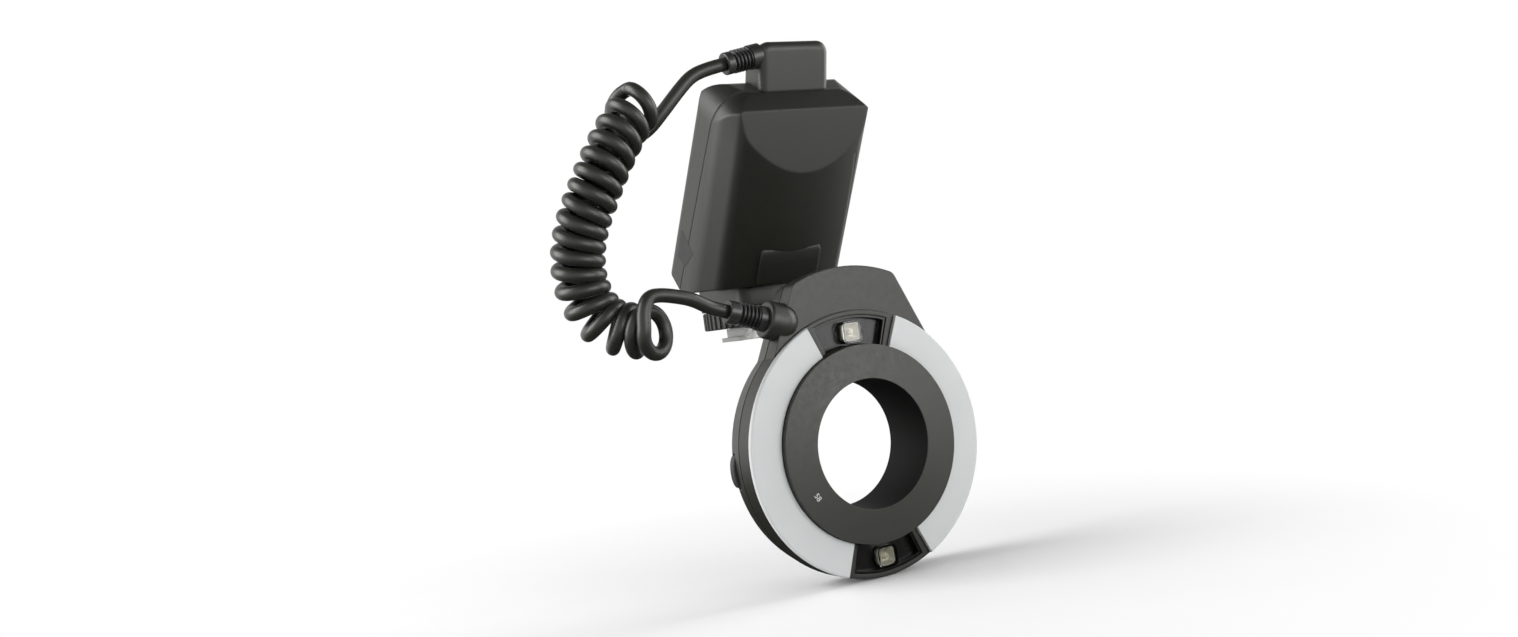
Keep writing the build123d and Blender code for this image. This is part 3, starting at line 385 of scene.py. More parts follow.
cups = []
for side, ring, angle in LAMPS:
    centre, radial, across = lamp_frame(ring, angle)
    cup_mesh = bmesh.new()
    loops_mesh(cup_mesh, [
        rounded_square(centre, radial, across, size, size * CUP_CORNER_SHARE, depth)
        for depth, size in CUP_LOOPS
    ])
    cups.append(make_object("lamp_cup_" + side, cup_mesh))

# Raised lower panel on the controller's front, flat across the crowned face: how far forward and
# up each level is, and half its width
PANEL_LEVELS = (
    (20.0, 62.2, 14.9), (20.85, 60.2, 15.4), (21.25, 54.0, 15.4), (21.6, 48.0, 15.4),
    (21.55, 45.4, 15.2),
)
PANEL_BACK = 17.0
panel_mesh = bmesh.new()
loops_mesh(panel_mesh, [
    [
        lean_point(-half, PANEL_BACK, up), lean_point(half, PANEL_BACK, up),
        lean_point(half, forward, up), lean_point(-half, forward, up),
    ]
    for forward, up, half in PANEL_LEVELS
])
bmesh.ops.recalc_face_normals(panel_mesh, faces=panel_mesh.faces)
front_panel = soften(make_object("front_panel", panel_mesh), 0.35)


# Release buttons: D-shaped caps, flat where they meet the head
CAP_LEVELS = (
    (16.55, 0.86), (16.7, 0.94), (17.05, 1.0), (19.95, 1.0), (20.3, 0.94), (20.45, 0.86),
)
CAP_FLAT = 50.9
CAP_FLAT_HALF = 7.15
CAP_START = 50.95
CAP_REACH = 5.4
CAP_MIDDLE = -3.25
CAP_HALF = 7.2
CAP_FULLNESS = 0.45
CAP_STEPS = 32


def make_release(way):
    mesh = bmesh.new()
    loops = []
    for depth, share in CAP_LEVELS:
        loop = [ring_point(way * CAP_FLAT, CAP_MIDDLE - CAP_FLAT_HALF * share, depth)]
        for index in range(CAP_STEPS + 1):
            turn = math.pi * (index / CAP_STEPS - 0.5)
            bulge = math.cos(turn) ** CAP_FULLNESS if 0 < index < CAP_STEPS else 0.0
            loop.append(ring_point(
                way * (CAP_START + CAP_REACH * bulge * share),
                CAP_MIDDLE + CAP_HALF * math.sin(turn) * share, depth
            ))
        loop.append(ring_point(way * CAP_FLAT, CAP_MIDDLE + CAP_FLAT_HALF * share, depth))
        loops.append(loop)
    loops_mesh(mesh, loops)
    bmesh.ops.recalc_face_normals(mesh, faces=mesh.faces)
    name = "release_cap_left" if way < 0 else "release_cap_right"
    return soften(make_object(name, mesh), 0.25, 2, 40)


release_caps = [(make_release(-1), "left"), (make_release(1), "right")]


# Thin marks: strokes of a given width laid on a flat place


def strokes(name, lines, origin, across, upward, out, width, height=0.05, sink=0.25):
    """Strips of the given width along each line; each stands this high on its surface."""
    mesh = bmesh.new()
    across, upward, out = Vector(across), Vector(upward), Vector(out)
    for line in lines:
        for (x0, y0), (x1, y1) in zip(line, line[1:]):
            way = Vector((x1 - x0, y1 - y0)).normalized()
            side = Vector((-way.y, way.x)) * width / 2
            reach = way * width / 2
            corners = [
                (x0 - reach.x + side.x, y0 - reach.y + side.y),
                (x0 - reach.x - side.x, y0 - reach.y - side.y),
                (x1 + reach.x - side.x, y1 + reach.y - side.y),
                (x1 + reach.x + side.x, y1 + reach.y + side.y),
            ]
            loops = []
            for rise in (-sink, height):
                loops.append([
                    Vector(origin) + across * u + upward * v + out * rise for u, v in corners
                ])
            loops_mesh(mesh, loops)
    bmesh.ops.recalc_face_normals(mesh, faces=mesh.faces)
    return make_object(name, mesh, smooth=False)


def arc_line(cx, cy, radius, start, end, steps=20):
    return [
        (
            cx + radius * math.cos(math.radians(start + (end - start) * index / steps)),
            cy + radius * math.sin(math.radians(start + (end - start) * index / steps)),
        )
        for index in range(steps + 1)
    ]


REAR = -23.0
BUTTON_FACE = REAR - 0.8
glyphs = {
    "button_lamp": ((-22.5, 77.0), [
        arc_line(0, 0.4, 0.9, -50, 230), [(-0.35, -0.9), (0.35, -0.9)],
        [(-1.7, 0.4), (-2.2, 0.4)], [(1.7, 0.4), (2.2, 0.4)], [(0, 1.8), (0, 2.1)],
    ]),
    "button_mode": ((-7.5, 77.0), [
        [(-1.6, -1.2), (-1.6, 1.2)], [(0, -1.2), (0, 1.2)], [(1.6, -1.2), (1.6, 1.2)],
    ]),
    "button_ratio": ((7.5, 77.0), [
        arc_line(-1.7, 0, 0.8, 0, 360), arc_line(1.7, 0, 0.8, 0, 360),
        [(0, 0.6), (0, 0.7)], [(0, -0.7), (0, -0.6)],
    ]),
    "button_sync": ((22.5, 77.0), [[(0.8, 1.5), (-0.7, -0.1), (0.6, 0.1), (-0.8, -1.5)]]),
    "button_minus": ((-15.0, 64.0), [[(-1.3, 0), (1.3, 0)]]),
    "button_set": ((0.0, 64.0), [arc_line(0, 0, 0.9, 0, 360)]),
    "button_plus": ((15.0, 64.0), [[(-1.3, 0), (1.3, 0)], [(0, -1.3), (0, 1.3)]]),
    "button_test": ((22.5, 50.0), [arc_line(0, 0, 1.1, 0, 360), [(0, 0.05), (0, -0.05)]]),
}
# Seen from behind, across runs to the left
marks = []
for name, ((side, up), lines) in glyphs.items():
    mark = strokes(
        name + "_mark", lines, lean_point(side, BUTTON_FACE, up),
        -RIGHT, UP_WAY, -FORWARD, 0.32, 0.03
    )
    marks.append((mark, name))

display_lines = [
    [(-19, -7.5), (19, -7.5)],
    [(-17, 6.5), (-9, 6.5)], [(-6, 6.5), (2, 6.5)], [(9, 6.5), (17, 6.5)],
]
for digit_x, lit in ((-12.0, "abcdg"), (-5.0, "abcdefg"), (6.0, "bc"), (13.0, "abged")):
    segments = {
        "a": [(-1.7, 3.4), (1.7, 3.4)], "b": [(2.0, 3.1), (2.0, 0.4)],
        "c": [(2.0, -0.4), (2.0, -3.1)], "d": [(-1.7, -3.4), (1.7, -3.4)],
        "e": [(-2.0, -0.4), (-2.0, -3.1)], "f": [(-2.0, 3.1), (-2.0, 0.4)],
        "g": [(-1.6, 0), (1.6, 0)],
    }
    for key in lit:
        display_lines.append([(digit_x + x, y - 0.5) for x, y in segments[key]])
display_marks = strokes(
    "display_marks", display_lines, lean_point(0, -20.8, 99), -RIGHT, UP_WAY, -FORWARD,
    0.55, 0.03, 0.01
)

switch_marks = strokes(
    "switch_marks", [[(x, 1.3), (x, -1.3)] for x in (0, 0.9, -0.9)],
    lean_point(-14.5, REAR - 1.2, 50), -RIGHT, UP_WAY, -FORWARD, 0.3, 0.25, 0.1
)
panel_marks = strokes(
    "panel_marks",
    [
        [(20.0, 54.2), (20.0, 55.4)], arc_line(11.4, 54.8, 0.6, 0, 360),
        [(-30.5, 89.8), (30.5, 89.8)],
    ],
    lean_point(0, REAR, 0), -RIGHT, UP_WAY, -FORWARD, 0.3, 0.03
)

# Small four-sided latch mark low on the controller's left side: a dark patch, painted shade of a
# recess
SIDE_FACE = 37
latch_mesh = bmesh.new()
loops_mesh(latch_mesh, [
    [
        lean_point(-SIDE_FACE - rise, forward, up)
        for forward, up in ((-15.5, 41.5), (-6.5, 41.0), (-1.5, 50.5), (-15.0, 55.5))
    ]
    for rise in (-0.25, 0.06)
])
bmesh.ops.recalc_face_normals(latch_mesh, faces=latch_mesh.faces)
latch_mark = make_object("side_latch_mark", latch_mesh, smooth=False)

# Crosses in the screw heads: dark strips, painted shade of the cross recesses
CROSS_HALF = 1.15
CROSS = [[(-CROSS_HALF, 0), (CROSS_HALF, 0)], [(0, -CROSS_HALF), (0, CROSS_HALF)]]
CONTROLLER_SCREWS = ((-31.4, 44), (-31.4, 110), (31.4, 44), (31.4, 110))
HEAD_SCREW_RING = 49.2
HEAD_REAR = 21.7


def cross_at(x, y, turn):
    c, s = math.cos(turn), math.sin(turn)
    return [[(x + a * c - b * s, y + a * s + b * c) for a, b in line] for line in CROSS]


controller_cross_lines = []
for index, (side, up) in enumerate(CONTROLLER_SCREWS):
    controller_cross_lines += cross_at(-side, up, 0.5 * index)
controller_crosses = strokes(
    "controller_screw_crosses", controller_cross_lines, lean_point(0, REAR, 0),
    -RIGHT, UP_WAY, -FORWARD, 0.42, 0.03
)
head_cross_lines = []
for index, angle in enumerate((45, 135, 225, 315)):
    x = HEAD_SCREW_RING * math.cos(math.radians(angle))
    z = HEAD_SCREW_RING * math.sin(math.radians(angle))
    head_cross_lines += cross_at(-x, z, 0.7 * index)
head_crosses = strokes(
    "head_screw_crosses", head_cross_lines, ring_point(0, 0, HEAD_REAR),
    -RIGHT, (0, 0, 1), (0, 1, 0), 0.42, 0.02
)

# Thread size on the annulus, whose face slopes from its bore to its rim
ANNULUS_INNER, ANNULUS_OUTER = 27.35, 41.8
INNER_RISE, OUTER_RISE = 3.9, 2.6
NUMBER_RADIUS = 34.7
NUMBER_EXTRUDE = 0.15
text_data = bpy.data.curves.new("size_number", "FONT")
text_data.body = "58"
text_data.size = 3.3
text_data.extrude = NUMBER_EXTRUDE
text_data.align_x = "CENTER"
text_data.align_y = "CENTER"
text_object = bpy.data.objects.new("size_number", text_data)
bpy.context.collection.objects.link(text_object)
bpy.context.view_layer.update()
number_mesh = bpy.data.meshes.new_from_object(text_object)
bpy.data.objects.remove(text_object)
number_angle = math.radians(210)
inward = Vector((-math.cos(number_angle), 0, -math.sin(number_angle)))
reading = Vector((-math.sin(number_angle), 0, math.cos(number_angle)))
slope = (INNER_RISE - OUTER_RISE) / (ANNULUS_OUTER - ANNULUS_INNER)
tilted = (inward - Vector((0, slope, 0))).normalized()
facing = reading.cross(tilted).normalized()
if facing.y > 0:
    facing = -facing
number_place = ring_point(
    NUMBER_RADIUS * math.cos(number_angle), NUMBER_RADIUS * math.sin(number_angle),
    -(INNER_RISE - slope * (NUMBER_RADIUS - ANNULUS_INNER))
)
number_place = number_place + facing * (0.03 - NUMBER_EXTRUDE)
turn = Matrix((
    (reading.x, tilted.x, facing.x, number_place.x),
    (reading.y, tilted.y, facing.y, number_place.y),
    (reading.z, tilted.z, facing.z, number_place.z),
    (0, 0, 0, 1),
))
number_mesh.transform(Matrix.Scale(MM, 4) @ turn)
size_number = bpy.data.objects.new("size_number", number_mesh)
bpy.context.collection.objects.link(size_number)


# Materials


def tone(red, green, blue):
    """A colour as the eye reads it, 0 to 255, in the renderer's own scale."""
    values = []
    for part in (red, green, blue):
        share = part / 255
        values.append(share / 12.92 if share <= 0.04045 else ((share + 0.055) / 1.055) ** 2.4)
    return (*values, 1.0)


def scaled(colour, factor):
    return (*(min(part * factor, 1.0) for part in colour[:3]), 1.0)


class Look:
    """A material under construction."""

    def __init__(self, name, **constants):
        self.material = bpy.data.materials.new(name)
        self.material.use_nodes = True
        self.tree = self.material.node_tree
        self.shader = self.tree.nodes["Principled BSDF"]
        for key, value in constants.items():
            self.shader.inputs[key.replace("_", " ")].default_value = value
        self.place = self.add("ShaderNodeTexCoord").outputs["Object"]

    def add(self, kind, settings=None, **inputs):
        node = self.tree.nodes.new(kind)
        for key, value in (settings or {}).items():
            setattr(node, key, value)
        for key, value in inputs.items():
            self.feed(node.inputs[key.replace("_", " ")], value)
        return node

    def feed(self, socket, value):
        if isinstance(value, bpy.types.NodeSocket):
            self.tree.links.new(value, socket)
        else:
            socket.default_value = value

    def noise(self, scale, detail=3.0, rough=0.55):
        node = self.add(
            "ShaderNodeTexNoise", Vector=self.place, Scale=scale, Detail=detail, Roughness=rough
        )
        return node.outputs["Fac"]

    def span(self, value, low, high, to_low, to_high):
        node = self.add("ShaderNodeMapRange")
        for index, part in enumerate((value, low, high, to_low, to_high)):
            self.feed(node.inputs[index], part)
        return node.outputs[0]

    def blend(self, factor, first, second):
        node = self.add("ShaderNodeMix", {"data_type": "RGBA"})
        self.feed(node.inputs[0], factor)
        self.feed(node.inputs[6], first)
        self.feed(node.inputs[7], second)
        return node.outputs[2]

    def math(self, operation, first, second=0.5):
        node = self.add("ShaderNodeMath", {"operation": operation})
        self.feed(node.inputs[0], first)
        self.feed(node.inputs[1], second)
        return node.outputs[0]

    def edges(self, radius, low=0.999, high=0.93):
        """Rounded normals, and how near an edge each point is."""
        bevel = self.add("ShaderNodeBevel", {"samples": 4}, Radius=radius * MM)
        geometry = self.add("ShaderNodeNewGeometry")
        dot = self.add("ShaderNodeVectorMath", {"operation": "DOT_PRODUCT"})
        self.feed(dot.inputs[0], bevel.outputs["Normal"])
        self.feed(dot.inputs[1], geometry.outputs["Normal"])
        return bevel.outputs["Normal"], self.span(dot.outputs["Value"], low, high, 0.0, 1.0)

    def bump(self, height, distance, normal=None, strength=1.0):
        node = self.add(
            "ShaderNodeBump", Height=height, Distance=distance * MM, Strength=strength
        )
        if normal is not None:
            self.feed(node.inputs["Normal"], normal)
        self.feed(self.shader.inputs["Normal"], node.outputs["Normal"])

    def colour(self, value):
        self.feed(self.shader.inputs["Base Color"], value)

    def roughness(self, value):
        self.feed(self.shader.inputs["Roughness"], value)


def moulded(
    name, colour, rough, grain=0.35, depth=0.02, edge=0.5, mottle=0.1, wear_and_highlight=1.7, **constants
):
    """Moulded plastic: fine spark-eroded grain, slight mottling, edges lighter as wear and as a
    painted highlight.
    """
    look = Look(name, **constants)
    broad = look.noise(70, 4)
    fine = look.noise(1000 / grain, 2, 0.6)
    cloud = look.noise(420, 3)
    base = look.blend(broad, scaled(colour, 1 - mottle), scaled(colour, 1 + mottle))
    normal, near = look.edges(edge)
    # Edges lighter: partly wear, partly a painted highlight along them
    rubbed_and_highlight = look.math("MULTIPLY", near, look.span(cloud, 0.35, 0.7, 0.15, 0.75))
    base = look.blend(rubbed_and_highlight, base, scaled(colour, wear_and_highlight))
    look.colour(base)
    mixed = look.math("ADD", look.math("MULTIPLY", cloud, 0.6), look.math("MULTIPLY", fine, 0.4))
    look.roughness(look.span(mixed, 0.3, 0.7, rough - 0.05, rough + 0.06))
    look.bump(fine, depth, normal)
    return look.material


def metal(name, colour, rough, brushed=(1, 1, 1), edge=0.25):
    look = Look(name, Metallic=1.0)
    stretch = look.add("ShaderNodeMapping", Vector=look.place, Scale=brushed)
    lines = look.add(
        "ShaderNodeTexNoise", Vector=stretch.outputs[0], Scale=900.0, Detail=3.0
    ).outputs["Fac"]
    broad = look.noise(120, 3)
    look.colour(look.blend(broad, scaled(colour, 0.85), scaled(colour, 1.1)))
    look.roughness(look.span(lines, 0.3, 0.7, rough - 0.08, rough + 0.1))
    look.bump(lines, 0.006, look.edges(edge)[0])
    return look.material


SHELL = moulded("shell_plastic", tone(31, 31, 26), 0.4, 0.42, 0.02, 1.5)
BLOCK = moulded("block_plastic", tone(34, 34, 30), 0.36, 0.42, 0.016, 1.5)
HEAD = moulded("head_plastic", tone(33, 33, 27), 0.42, 0.4, 0.022, 1.0)
BEZEL = moulded(
    "bezel_plastic", tone(18, 18, 17), 0.22, 0.3, 0.006, 0.3, Specular_IOR_Level=0.3
)
BUTTON = moulded("button_rubber", tone(46, 46, 44), 0.58, 0.3, 0.015, 0.5)
WHEEL = moulded("wheel_plastic", tone(36, 36, 34), 0.5, 0.35, 0.02, 0.3)
DOOR = moulded("door_plastic", tone(31, 31, 26), 0.4, 0.42, 0.02, 0.6)
BOSS = moulded("boss_plastic", tone(38, 38, 33), 0.42, 0.4, 0.02, 0.7)
INNER = moulded("inner_plastic", tone(60, 60, 60), 0.5, 0.4, 0.02, 0.3)
# Painted shade for the latch recess
RECESS_SHADE = moulded("painted_recess_shade", tone(19, 19, 18), 0.55, 0.42, 0.02, 0.3)
MAT = moulded("mat_silicone", tone(92, 92, 92), 0.6, 0.5, 0.02, 0.3)
RUBBER = moulded("boot_rubber", tone(24, 24, 23), 0.36, 0.25, 0.008, 0.15, 0.08, 1.4)
END_RING = moulded("end_ring_plastic", tone(40, 40, 39), 0.28, 0.3, 0.008, 0.3, 0.06, 2.6)
COLLAR = moulded("collar_plastic", tone(36, 36, 35), 0.28, 0.3, 0.008, 0.3, 0.06, 2.4)
STEEL = metal("satin_steel", tone(150, 150, 148), 0.34, (1, 0.06, 1))
SCREW = metal("blackened_steel", tone(70, 70, 70), 0.38)
GOLD = metal("gilt_contact", tone(196, 160, 92), 0.26)
SPRING = metal("spring_steel", tone(160, 160, 156), 0.3)
MIRROR = metal("reflector_foil", tone(225, 225, 222), 0.16, (0.05, 1, 0.05))

# Cord sheath: smooth satin, very fine drawn lines
look = Look("cord_sheath")
broad = look.noise(160, 3)
fine = look.noise(2600, 2)
look.colour(look.blend(broad, tone(30, 30, 26), tone(36, 36, 31)))
look.roughness(look.span(fine, 0.3, 0.7, 0.34, 0.44))
look.bump(fine, 0.006)
CORD = look.material

# Diffusers: frosted acrylic with a fine prismatic stipple and a painted highlight along their
# edges
look = Look("diffuser_acrylic", Specular_IOR_Level=0.45)
broad = look.noise(40, 3)
cells = look.add("ShaderNodeTexVoronoi", Vector=look.place, Scale=1500.0)
fine = look.noise(2400, 2)
normal, near = look.edges(0.35)
base = look.blend(broad, tone(194, 197, 197), tone(204, 206, 206))
# Painted highlight: lighter along the edges
base = look.blend(look.math("MULTIPLY", near, 0.5), base, tone(222, 224, 224))
look.colour(base)
look.roughness(look.span(fine, 0.3, 0.7, 0.34, 0.46))
look.bump(cells.outputs["Distance"], 0.02, normal, 0.5)
DIFFUSER = look.material

# Lamp lenses: clear, their fronts finely ribbed
look = Look("lamp_lens_clear", Transmission_Weight=1.0, IOR=1.49)
waves = look.add("ShaderNodeTexWave", Vector=look.place, Scale=340.0, Distortion=1.5, Detail=1.0)
fine = look.noise(900, 2)
look.colour(look.blend(fine, tone(246, 246, 240), tone(255, 255, 252)))
look.roughness(look.span(fine, 0.3, 0.7, 0.03, 0.1))
look.bump(waves.outputs["Fac"], 0.05, None, 0.6)
CLEAR = look.material

# Bulbs: warm glass
look = Look("bulb_glass", Specular_IOR_Level=0.6)
fine = look.noise(700, 2)
look.colour(look.blend(fine, tone(216, 206, 180), tone(236, 230, 212)))
look.roughness(look.span(fine, 0.3, 0.7, 0.12, 0.2))
look.bump(fine, 0.01)
BULB = look.material

look = Look("lamp_cup_finish", Metallic=0.55)
fine = look.noise(1200, 2)
facets = look.add("ShaderNodeTexVoronoi", Vector=look.place, Scale=800.0)
look.colour(look.blend(fine, tone(198, 196, 186), tone(222, 220, 210)))
look.roughness(look.span(fine, 0.3, 0.7, 0.26, 0.36))
look.bump(facets.outputs["Distance"], 0.08, None, 0.6)
CUP = look.material

# Flash tubes: glass over white
look = Look("flash_tube_glass", Coat_Weight=1.0, Coat_Roughness=0.03)
fine = look.noise(500, 2)
look.colour(look.blend(fine, tone(222, 224, 226), tone(240, 241, 242)))
look.roughness(look.span(fine, 0.3, 0.7, 0.12, 0.2))
TUBE = look.material

# Display window, display and its dark segments
look = Look("window_acrylic", Transmission_Weight=1.0, IOR=1.49)
fine = look.noise(300, 2)
look.colour(look.blend(fine, tone(226, 230, 226), tone(236, 240, 236)))
look.roughness(look.span(fine, 0.3, 0.7, 0.01, 0.04))
WINDOW = look.material

look = Look("display_glass", Coat_Weight=0.6, Coat_Roughness=0.08)
fine = look.noise(1600, 2)
look.colour(look.blend(fine, tone(132, 142, 122), tone(142, 152, 132)))
look.roughness(look.span(fine, 0.3, 0.7, 0.3, 0.4))
DISPLAY = look.material

look = Look("display_ink")
fine = look.noise(900, 2)
look.colour(look.blend(fine, tone(34, 38, 36), tone(44, 48, 46)))
look.roughness(look.span(fine, 0.3, 0.7, 0.4, 0.5))
INK = look.material

# Circuit boards: lacquer over copper tracks
look = Look("board_lacquer", Coat_Weight=0.4, Coat_Roughness=0.15)
tracks = look.add("ShaderNodeTexBrick", Vector=look.place, Scale=180.0, Mortar_Size=0.06)
fine = look.noise(800, 3)
look.feed(tracks.inputs["Color1"], tone(28, 74, 44))
look.feed(tracks.inputs["Color2"], tone(24, 64, 38))
look.feed(tracks.inputs["Mortar"], tone(60, 110, 66))
look.colour(look.blend(
    look.math("MULTIPLY", fine, 0.3), tracks.outputs["Color"], tone(20, 52, 32)
))
look.roughness(look.span(fine, 0.3, 0.7, 0.3, 0.45))
BOARD = look.material

# Cells: a plain wrap with a band, bare metal at the ends
look = Look("cell_wrap", Coat_Weight=0.5, Coat_Roughness=0.12)
split = look.add("ShaderNodeSeparateXYZ", Vector=look.place)
fine = look.noise(500, 3)
band = look.math("GREATER_THAN", split.outputs[0], 0.013)
ends = look.math("GREATER_THAN", look.math("ABSOLUTE", split.outputs[0]), 0.0236)
base = look.blend(band, tone(44, 60, 84), tone(186, 142, 80))
base = look.blend(ends, base, tone(190, 190, 186))
look.colour(look.blend(look.math("MULTIPLY", fine, 0.25), base, tone(120, 120, 120)))
look.roughness(look.span(fine, 0.3, 0.7, 0.28, 0.4))
CELL = look.material

look = Look("capacitor_sleeve", Coat_Weight=0.3, Coat_Roughness=0.15)
split = look.add("ShaderNodeSeparateXYZ", Vector=look.place)
fine = look.noise(500, 3)
ends = look.math("GREATER_THAN", look.math("ABSOLUTE", split.outputs[0]), 0.0165)
base = look.blend(ends, tone(34, 34, 38), tone(170, 170, 168))
look.colour(look.blend(look.math("MULTIPLY", fine, 0.25), base, tone(70, 70, 74)))
look.roughness(look.span(fine, 0.3, 0.7, 0.3, 0.45))
CAPACITOR = look.material

# Printed marks, then the painted shade of the screw crosses
look = Look("mark_white")
fine = look.noise(1500, 3)
look.colour(look.blend(fine, tone(196, 196, 192), tone(226, 226, 222)))
look.roughness(look.span(fine, 0.3, 0.7, 0.45, 0.6))
look.bump(fine, 0.01)
PRINT = look.material

# Painted shade of the screws' cross recesses
look = Look("painted_cross_shade")
fine = look.noise(1500, 3)
look.colour(look.blend(fine, tone(12, 12, 11), tone(22, 22, 20)))
look.roughness(look.span(fine, 0.3, 0.7, 0.55, 0.7))
look.bump(fine, 0.01)
CROSS_SHADE = look.material


def annulus_in_front_of_thread():
    """The annulus in a satin finish, its edges lighter as wear and painted highlight, and its bore
    painted near-black as shade.
    """
    look = Look("annulus_and_bore", Specular_IOR_Level=0.5)
    finish = tone(45, 46, 40)
    split = look.add("ShaderNodeSeparateXYZ", Vector=look.place)
    height = look.math("ADD", split.outputs[2], -RING.z * MM)
    squares = look.math(
        "ADD",
        look.math("MULTIPLY", split.outputs[0], split.outputs[0]),
        look.math("MULTIPLY", height, height),
    )
    radius = look.math("SQRT", squares)
    # Painted shade: the bore, a recess in shade, is coloured near-black and made rough and dull
    bore_shade = look.math(
        "MULTIPLY",
        look.span(radius, 0.0282, 0.0279, 0.0, 1.0),
        look.span(split.outputs[1], -0.0987, -0.0982, 0.0, 1.0),
    )
    broad = look.noise(70, 4)
    fine = look.noise(4500, 2, 0.6)
    cloud = look.noise(420, 3)
    normal, near = look.edges(0.35)
    base = look.blend(broad, scaled(finish, 0.93), scaled(finish, 1.07))
    # Edges lighter: partly wear, partly a painted highlight
    rubbed_and_highlight = look.math("MULTIPLY", near, look.span(cloud, 0.35, 0.7, 0.15, 0.75))
    base = look.blend(rubbed_and_highlight, base, scaled(finish, 1.7))
    look.colour(look.blend(bore_shade, base, tone(17, 17, 16)))
    look.roughness(look.span(bore_shade, 0.0, 1.0, look.span(cloud, 0.3, 0.7, 0.41, 0.52), 0.7))
    look.feed(look.shader.inputs["Specular IOR Level"], look.span(bore_shade, 0.0, 1.0, 0.5, 0.12))
    look.bump(fine, 0.01, normal)
    return look.material


node_looks = {
    "front_shell": SHELL, "rear_shell": SHELL, "controller_screws": SCREW, "cable_block": BLOCK,
    "lcd_window": WINDOW, "lcd_panel": DISPLAY, "main_board": BOARD, "button_mat": MAT,
    "power_switch": BUTTON, "aa_cells": CELL, "battery_cradle": INNER,
    "battery_contacts": SPRING, "flash_capacitor": CAPACITOR, "battery_door": DOOR,
    "door_springs": SPRING, "door_hinge_pin": STEEL, "base_housing": SHELL, "lock_stem": STEEL,
    "shoe_foot": STEEL, "shoe_contacts": GOLD, "lock_wheel": WHEEL, "lock_pin": STEEL,
    "cable_boss": BOSS, "upper_collar": COLLAR, "lower_collar": COLLAR,
    "upper_strain_relief": RUBBER, "lower_strain_relief": RUBBER, "upper_end_ring": END_RING,
    "lower_end_ring": END_RING, "cord_upper_lead": CORD, "cord_lower_lead": CORD,
    "cord_coil": CORD, "head_front_shell": HEAD, "head_rear_shell": HEAD,
    "diffuser_left": DIFFUSER, "diffuser_right": DIFFUSER, "reflector_left": MIRROR,
    "reflector_right": MIRROR, "flash_tube_left": TUBE, "flash_tube_right": TUBE,
    "lamp_bezel_top": BEZEL, "lamp_bezel_bottom": BEZEL, "lamp_lens_top": CLEAR,
    "lamp_lens_bottom": CLEAR, "lamp_bulbs": BULB, "head_board": BOARD, "head_screws": SCREW,
    "release_button_left": BUTTON, "release_button_right": BUTTON, "latch_blocks": STEEL,
    "adapter_ring": annulus_in_front_of_thread(),
}
for name in glyphs:
    node_looks[name] = BUTTON
for name, thing in nodes.items():
    material = node_looks[name]
    if not thing.material_slots:
        thing.data.materials.append(material)
    for material_slot in thing.material_slots:
        material_slot.material = material


def dress(thing, material, body, slot, *replaced):
    thing.data.materials.clear()
    thing.data.materials.append(material)
    if body:
        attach(thing, body)
    if replaced:
        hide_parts(*replaced)


dress(upper_boot, RUBBER, "controller", "boot_rubber", "upper_strain_relief")
dress(lower_boot, RUBBER, "head", "boot_rubber", "lower_strain_relief")
dress(bulbs, BULB, "head", "lamp", "lamp_bulbs")
for cup in cups:
    dress(cup, CUP, "head", "mirror_metal")
dress(front_panel, SHELL, "controller", "shell")
for cap, side in release_caps:
    dress(cap, BUTTON, "release_button_" + side, "controls", "release_button_" + side)
for mark, body in marks:
    dress(mark, PRINT, body, "controls")
dress(display_marks, INK, "controller", "display")
dress(switch_marks, PRINT, "power_switch", "controls")
dress(panel_marks, PRINT, "controller", "shell")
dress(latch_mark, RECESS_SHADE, "controller", "shell")
dress(controller_crosses, CROSS_SHADE, "controller", "steel")
dress(head_crosses, CROSS_SHADE, "head", "steel")
dress(size_number, PRINT, "adapter_ring", "annulus")

dress(cord, CORD, None, "cord_rubber", "cord_upper_lead", "cord_coil", "cord_lower_lead")
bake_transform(cord)

# Floor, background and lamps
FLOOR_GAP = 0.3
FLOOR_HALF = 6000
FLOOR_MIDDLE = (0.04, 0.06)
floor_mesh = bmesh.new()
floor_z = cad_box[0][2] / MM - FLOOR_GAP
bmesh.ops.create_grid(floor_mesh, x_segments=2, y_segments=2, size=FLOOR_HALF)
bmesh.ops.translate(floor_mesh, verts=floor_mesh.verts, vec=(0, 0, floor_z))
floor = make_object("floor", floor_mesh, smooth=False)
look = Look("floor_paper")
look.shader.inputs["Roughness"].default_value = 0.9
look.shader.inputs["Specular IOR Level"].default_value = 0.1
look.colour(look.blend(look.noise(30, 3), tone(248, 248, 248), tone(252, 252, 252)))
path = look.add("ShaderNodeLightPath")
distance = look.add("ShaderNodeVectorMath", {"operation": "LENGTH"})
shifted = look.add("ShaderNodeVectorMath", {"operation": "ADD"})
look.feed(shifted.inputs[0], look.place)
look.feed(shifted.inputs[1], (*FLOOR_MIDDLE, -floor_z * MM))
look.feed(distance.inputs[0], shifted.outputs[0])
far = look.span(distance.outputs["Value"], 0.1, 0.3, 0.0, 1.0)
seen = look.math(
    "MAXIMUM",
    look.math("MAXIMUM", path.outputs["Is Camera Ray"], path.outputs["Is Glossy Ray"]),
    path.outputs["Is Transmission Ray"],
)
white = look.add("ShaderNodeEmission")
# Dim emission for the painted dark reflection
dark_reflection_paint = look.add("ShaderNodeEmission")
dark_reflection_paint.inputs["Strength"].default_value = 0.04
join = look.add("ShaderNodeMixShader")
look.feed(join.inputs[0], look.math("MULTIPLY", seen, far))
look.feed(join.inputs[1], look.shader.outputs[0])
look.feed(join.inputs[2], white.outputs[0])
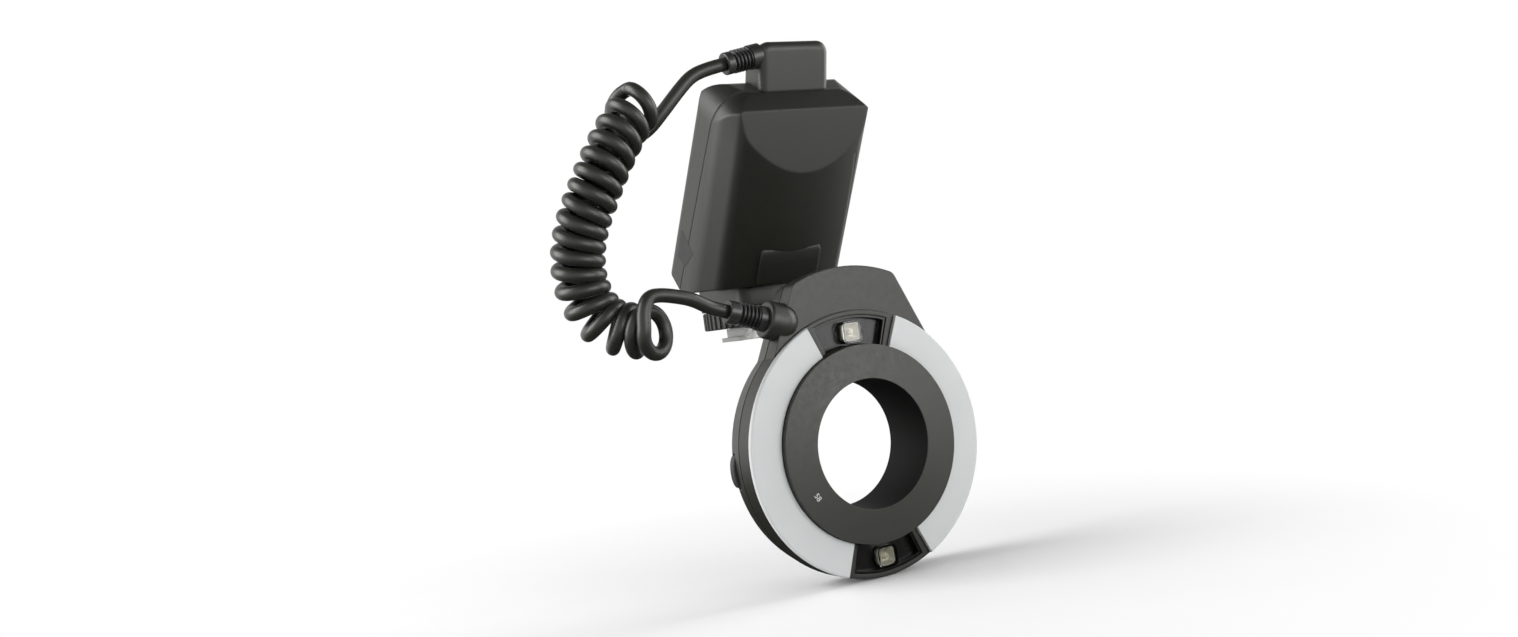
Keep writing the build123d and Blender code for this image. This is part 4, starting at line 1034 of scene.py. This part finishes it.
# Painted dark reflection: glossy rays near the object see a dim emission in place of the lit floor
under = look.add("ShaderNodeMixShader")
near = look.span(distance.outputs["Value"], 0.2, 0.55, 1.0, 0.0)
look.feed(under.inputs[0], look.math("MULTIPLY", path.outputs["Is Glossy Ray"], near))
look.feed(under.inputs[1], join.outputs[0])
look.feed(under.inputs[2], dark_reflection_paint.outputs[0])
output = next(node for node in look.tree.nodes if node.type == "OUTPUT_MATERIAL")
look.tree.links.new(under.outputs[0], output.inputs["Surface"])
floor.data.materials.append(look.material)

world = bpy.data.worlds.new("studio")
bpy.context.scene.world = world
world.use_nodes = True
tree = world.node_tree
tree.nodes.clear()


def world_node(kind, *inputs, operation=None):
    """A node of the world, with its first sockets linked or set in order."""
    node = tree.nodes.new(kind)
    if operation:
        node.operation = operation
    for socket, value in zip(node.inputs, inputs):
        if isinstance(value, bpy.types.NodeSocket):
            tree.links.new(value, socket)
        else:
            socket.default_value = value
    return node


# White to the camera and in reflections, but darker overhead in what gloss mirrors
WHITE = (1, 1, 1, 1)
path = world_node("ShaderNodeLightPath")
direction = world_node("ShaderNodeTexCoord")
split = world_node("ShaderNodeSeparateXYZ", direction.outputs["Generated"])
higher = world_node("ShaderNodeMapRange", split.outputs[2], 0.35, 0.8, 0.0, 0.85)
shade = world_node(
    "ShaderNodeMath", higher.outputs[0], path.outputs["Is Glossy Ray"], operation="MULTIPLY"
)
level = world_node("ShaderNodeMath", 1.0, shade.outputs[0], operation="SUBTRACT")
plain = world_node("ShaderNodeBackground", WHITE, 0.28)
bright = world_node("ShaderNodeBackground", WHITE, level.outputs[0])
first = world_node(
    "ShaderNodeMath", path.outputs["Is Camera Ray"], path.outputs["Is Glossy Ray"],
    operation="MAXIMUM"
)
second = world_node(
    "ShaderNodeMath", first.outputs[0], path.outputs["Is Transmission Ray"], operation="MAXIMUM"
)
mixer = world_node("ShaderNodeMixShader", second.outputs[0], plain.outputs[0], bright.outputs[0])
world_node("ShaderNodeOutputWorld", mixer.outputs[0])


def soft_lamp(name, place, target, size, power):
    data = bpy.data.lights.new(name, "AREA")
    data.shape = "RECTANGLE"
    data.size = size[0]
    data.size_y = size[1]
    data.energy = power
    lamp = bpy.data.objects.new(name, data)
    bpy.context.collection.objects.link(lamp)
    lamp.location = place
    way = Vector(target) - Vector(place)
    lamp.rotation_euler = way.to_track_quat("-Z", "Y").to_euler()


MIDDLE = (-0.02, -0.06, 0.02)
soft_lamp("key_left", (-1.0, 0.3, 0.5), MIDDLE, (0.8, 1.0), 16.0)
soft_lamp("front", (0.35, -1.1, 0.12), MIDDLE, (0.9, 0.6), 6.5)
soft_lamp("fill_right", (0.9, -0.2, 0.2), MIDDLE, (0.5, 0.9), 6.0)
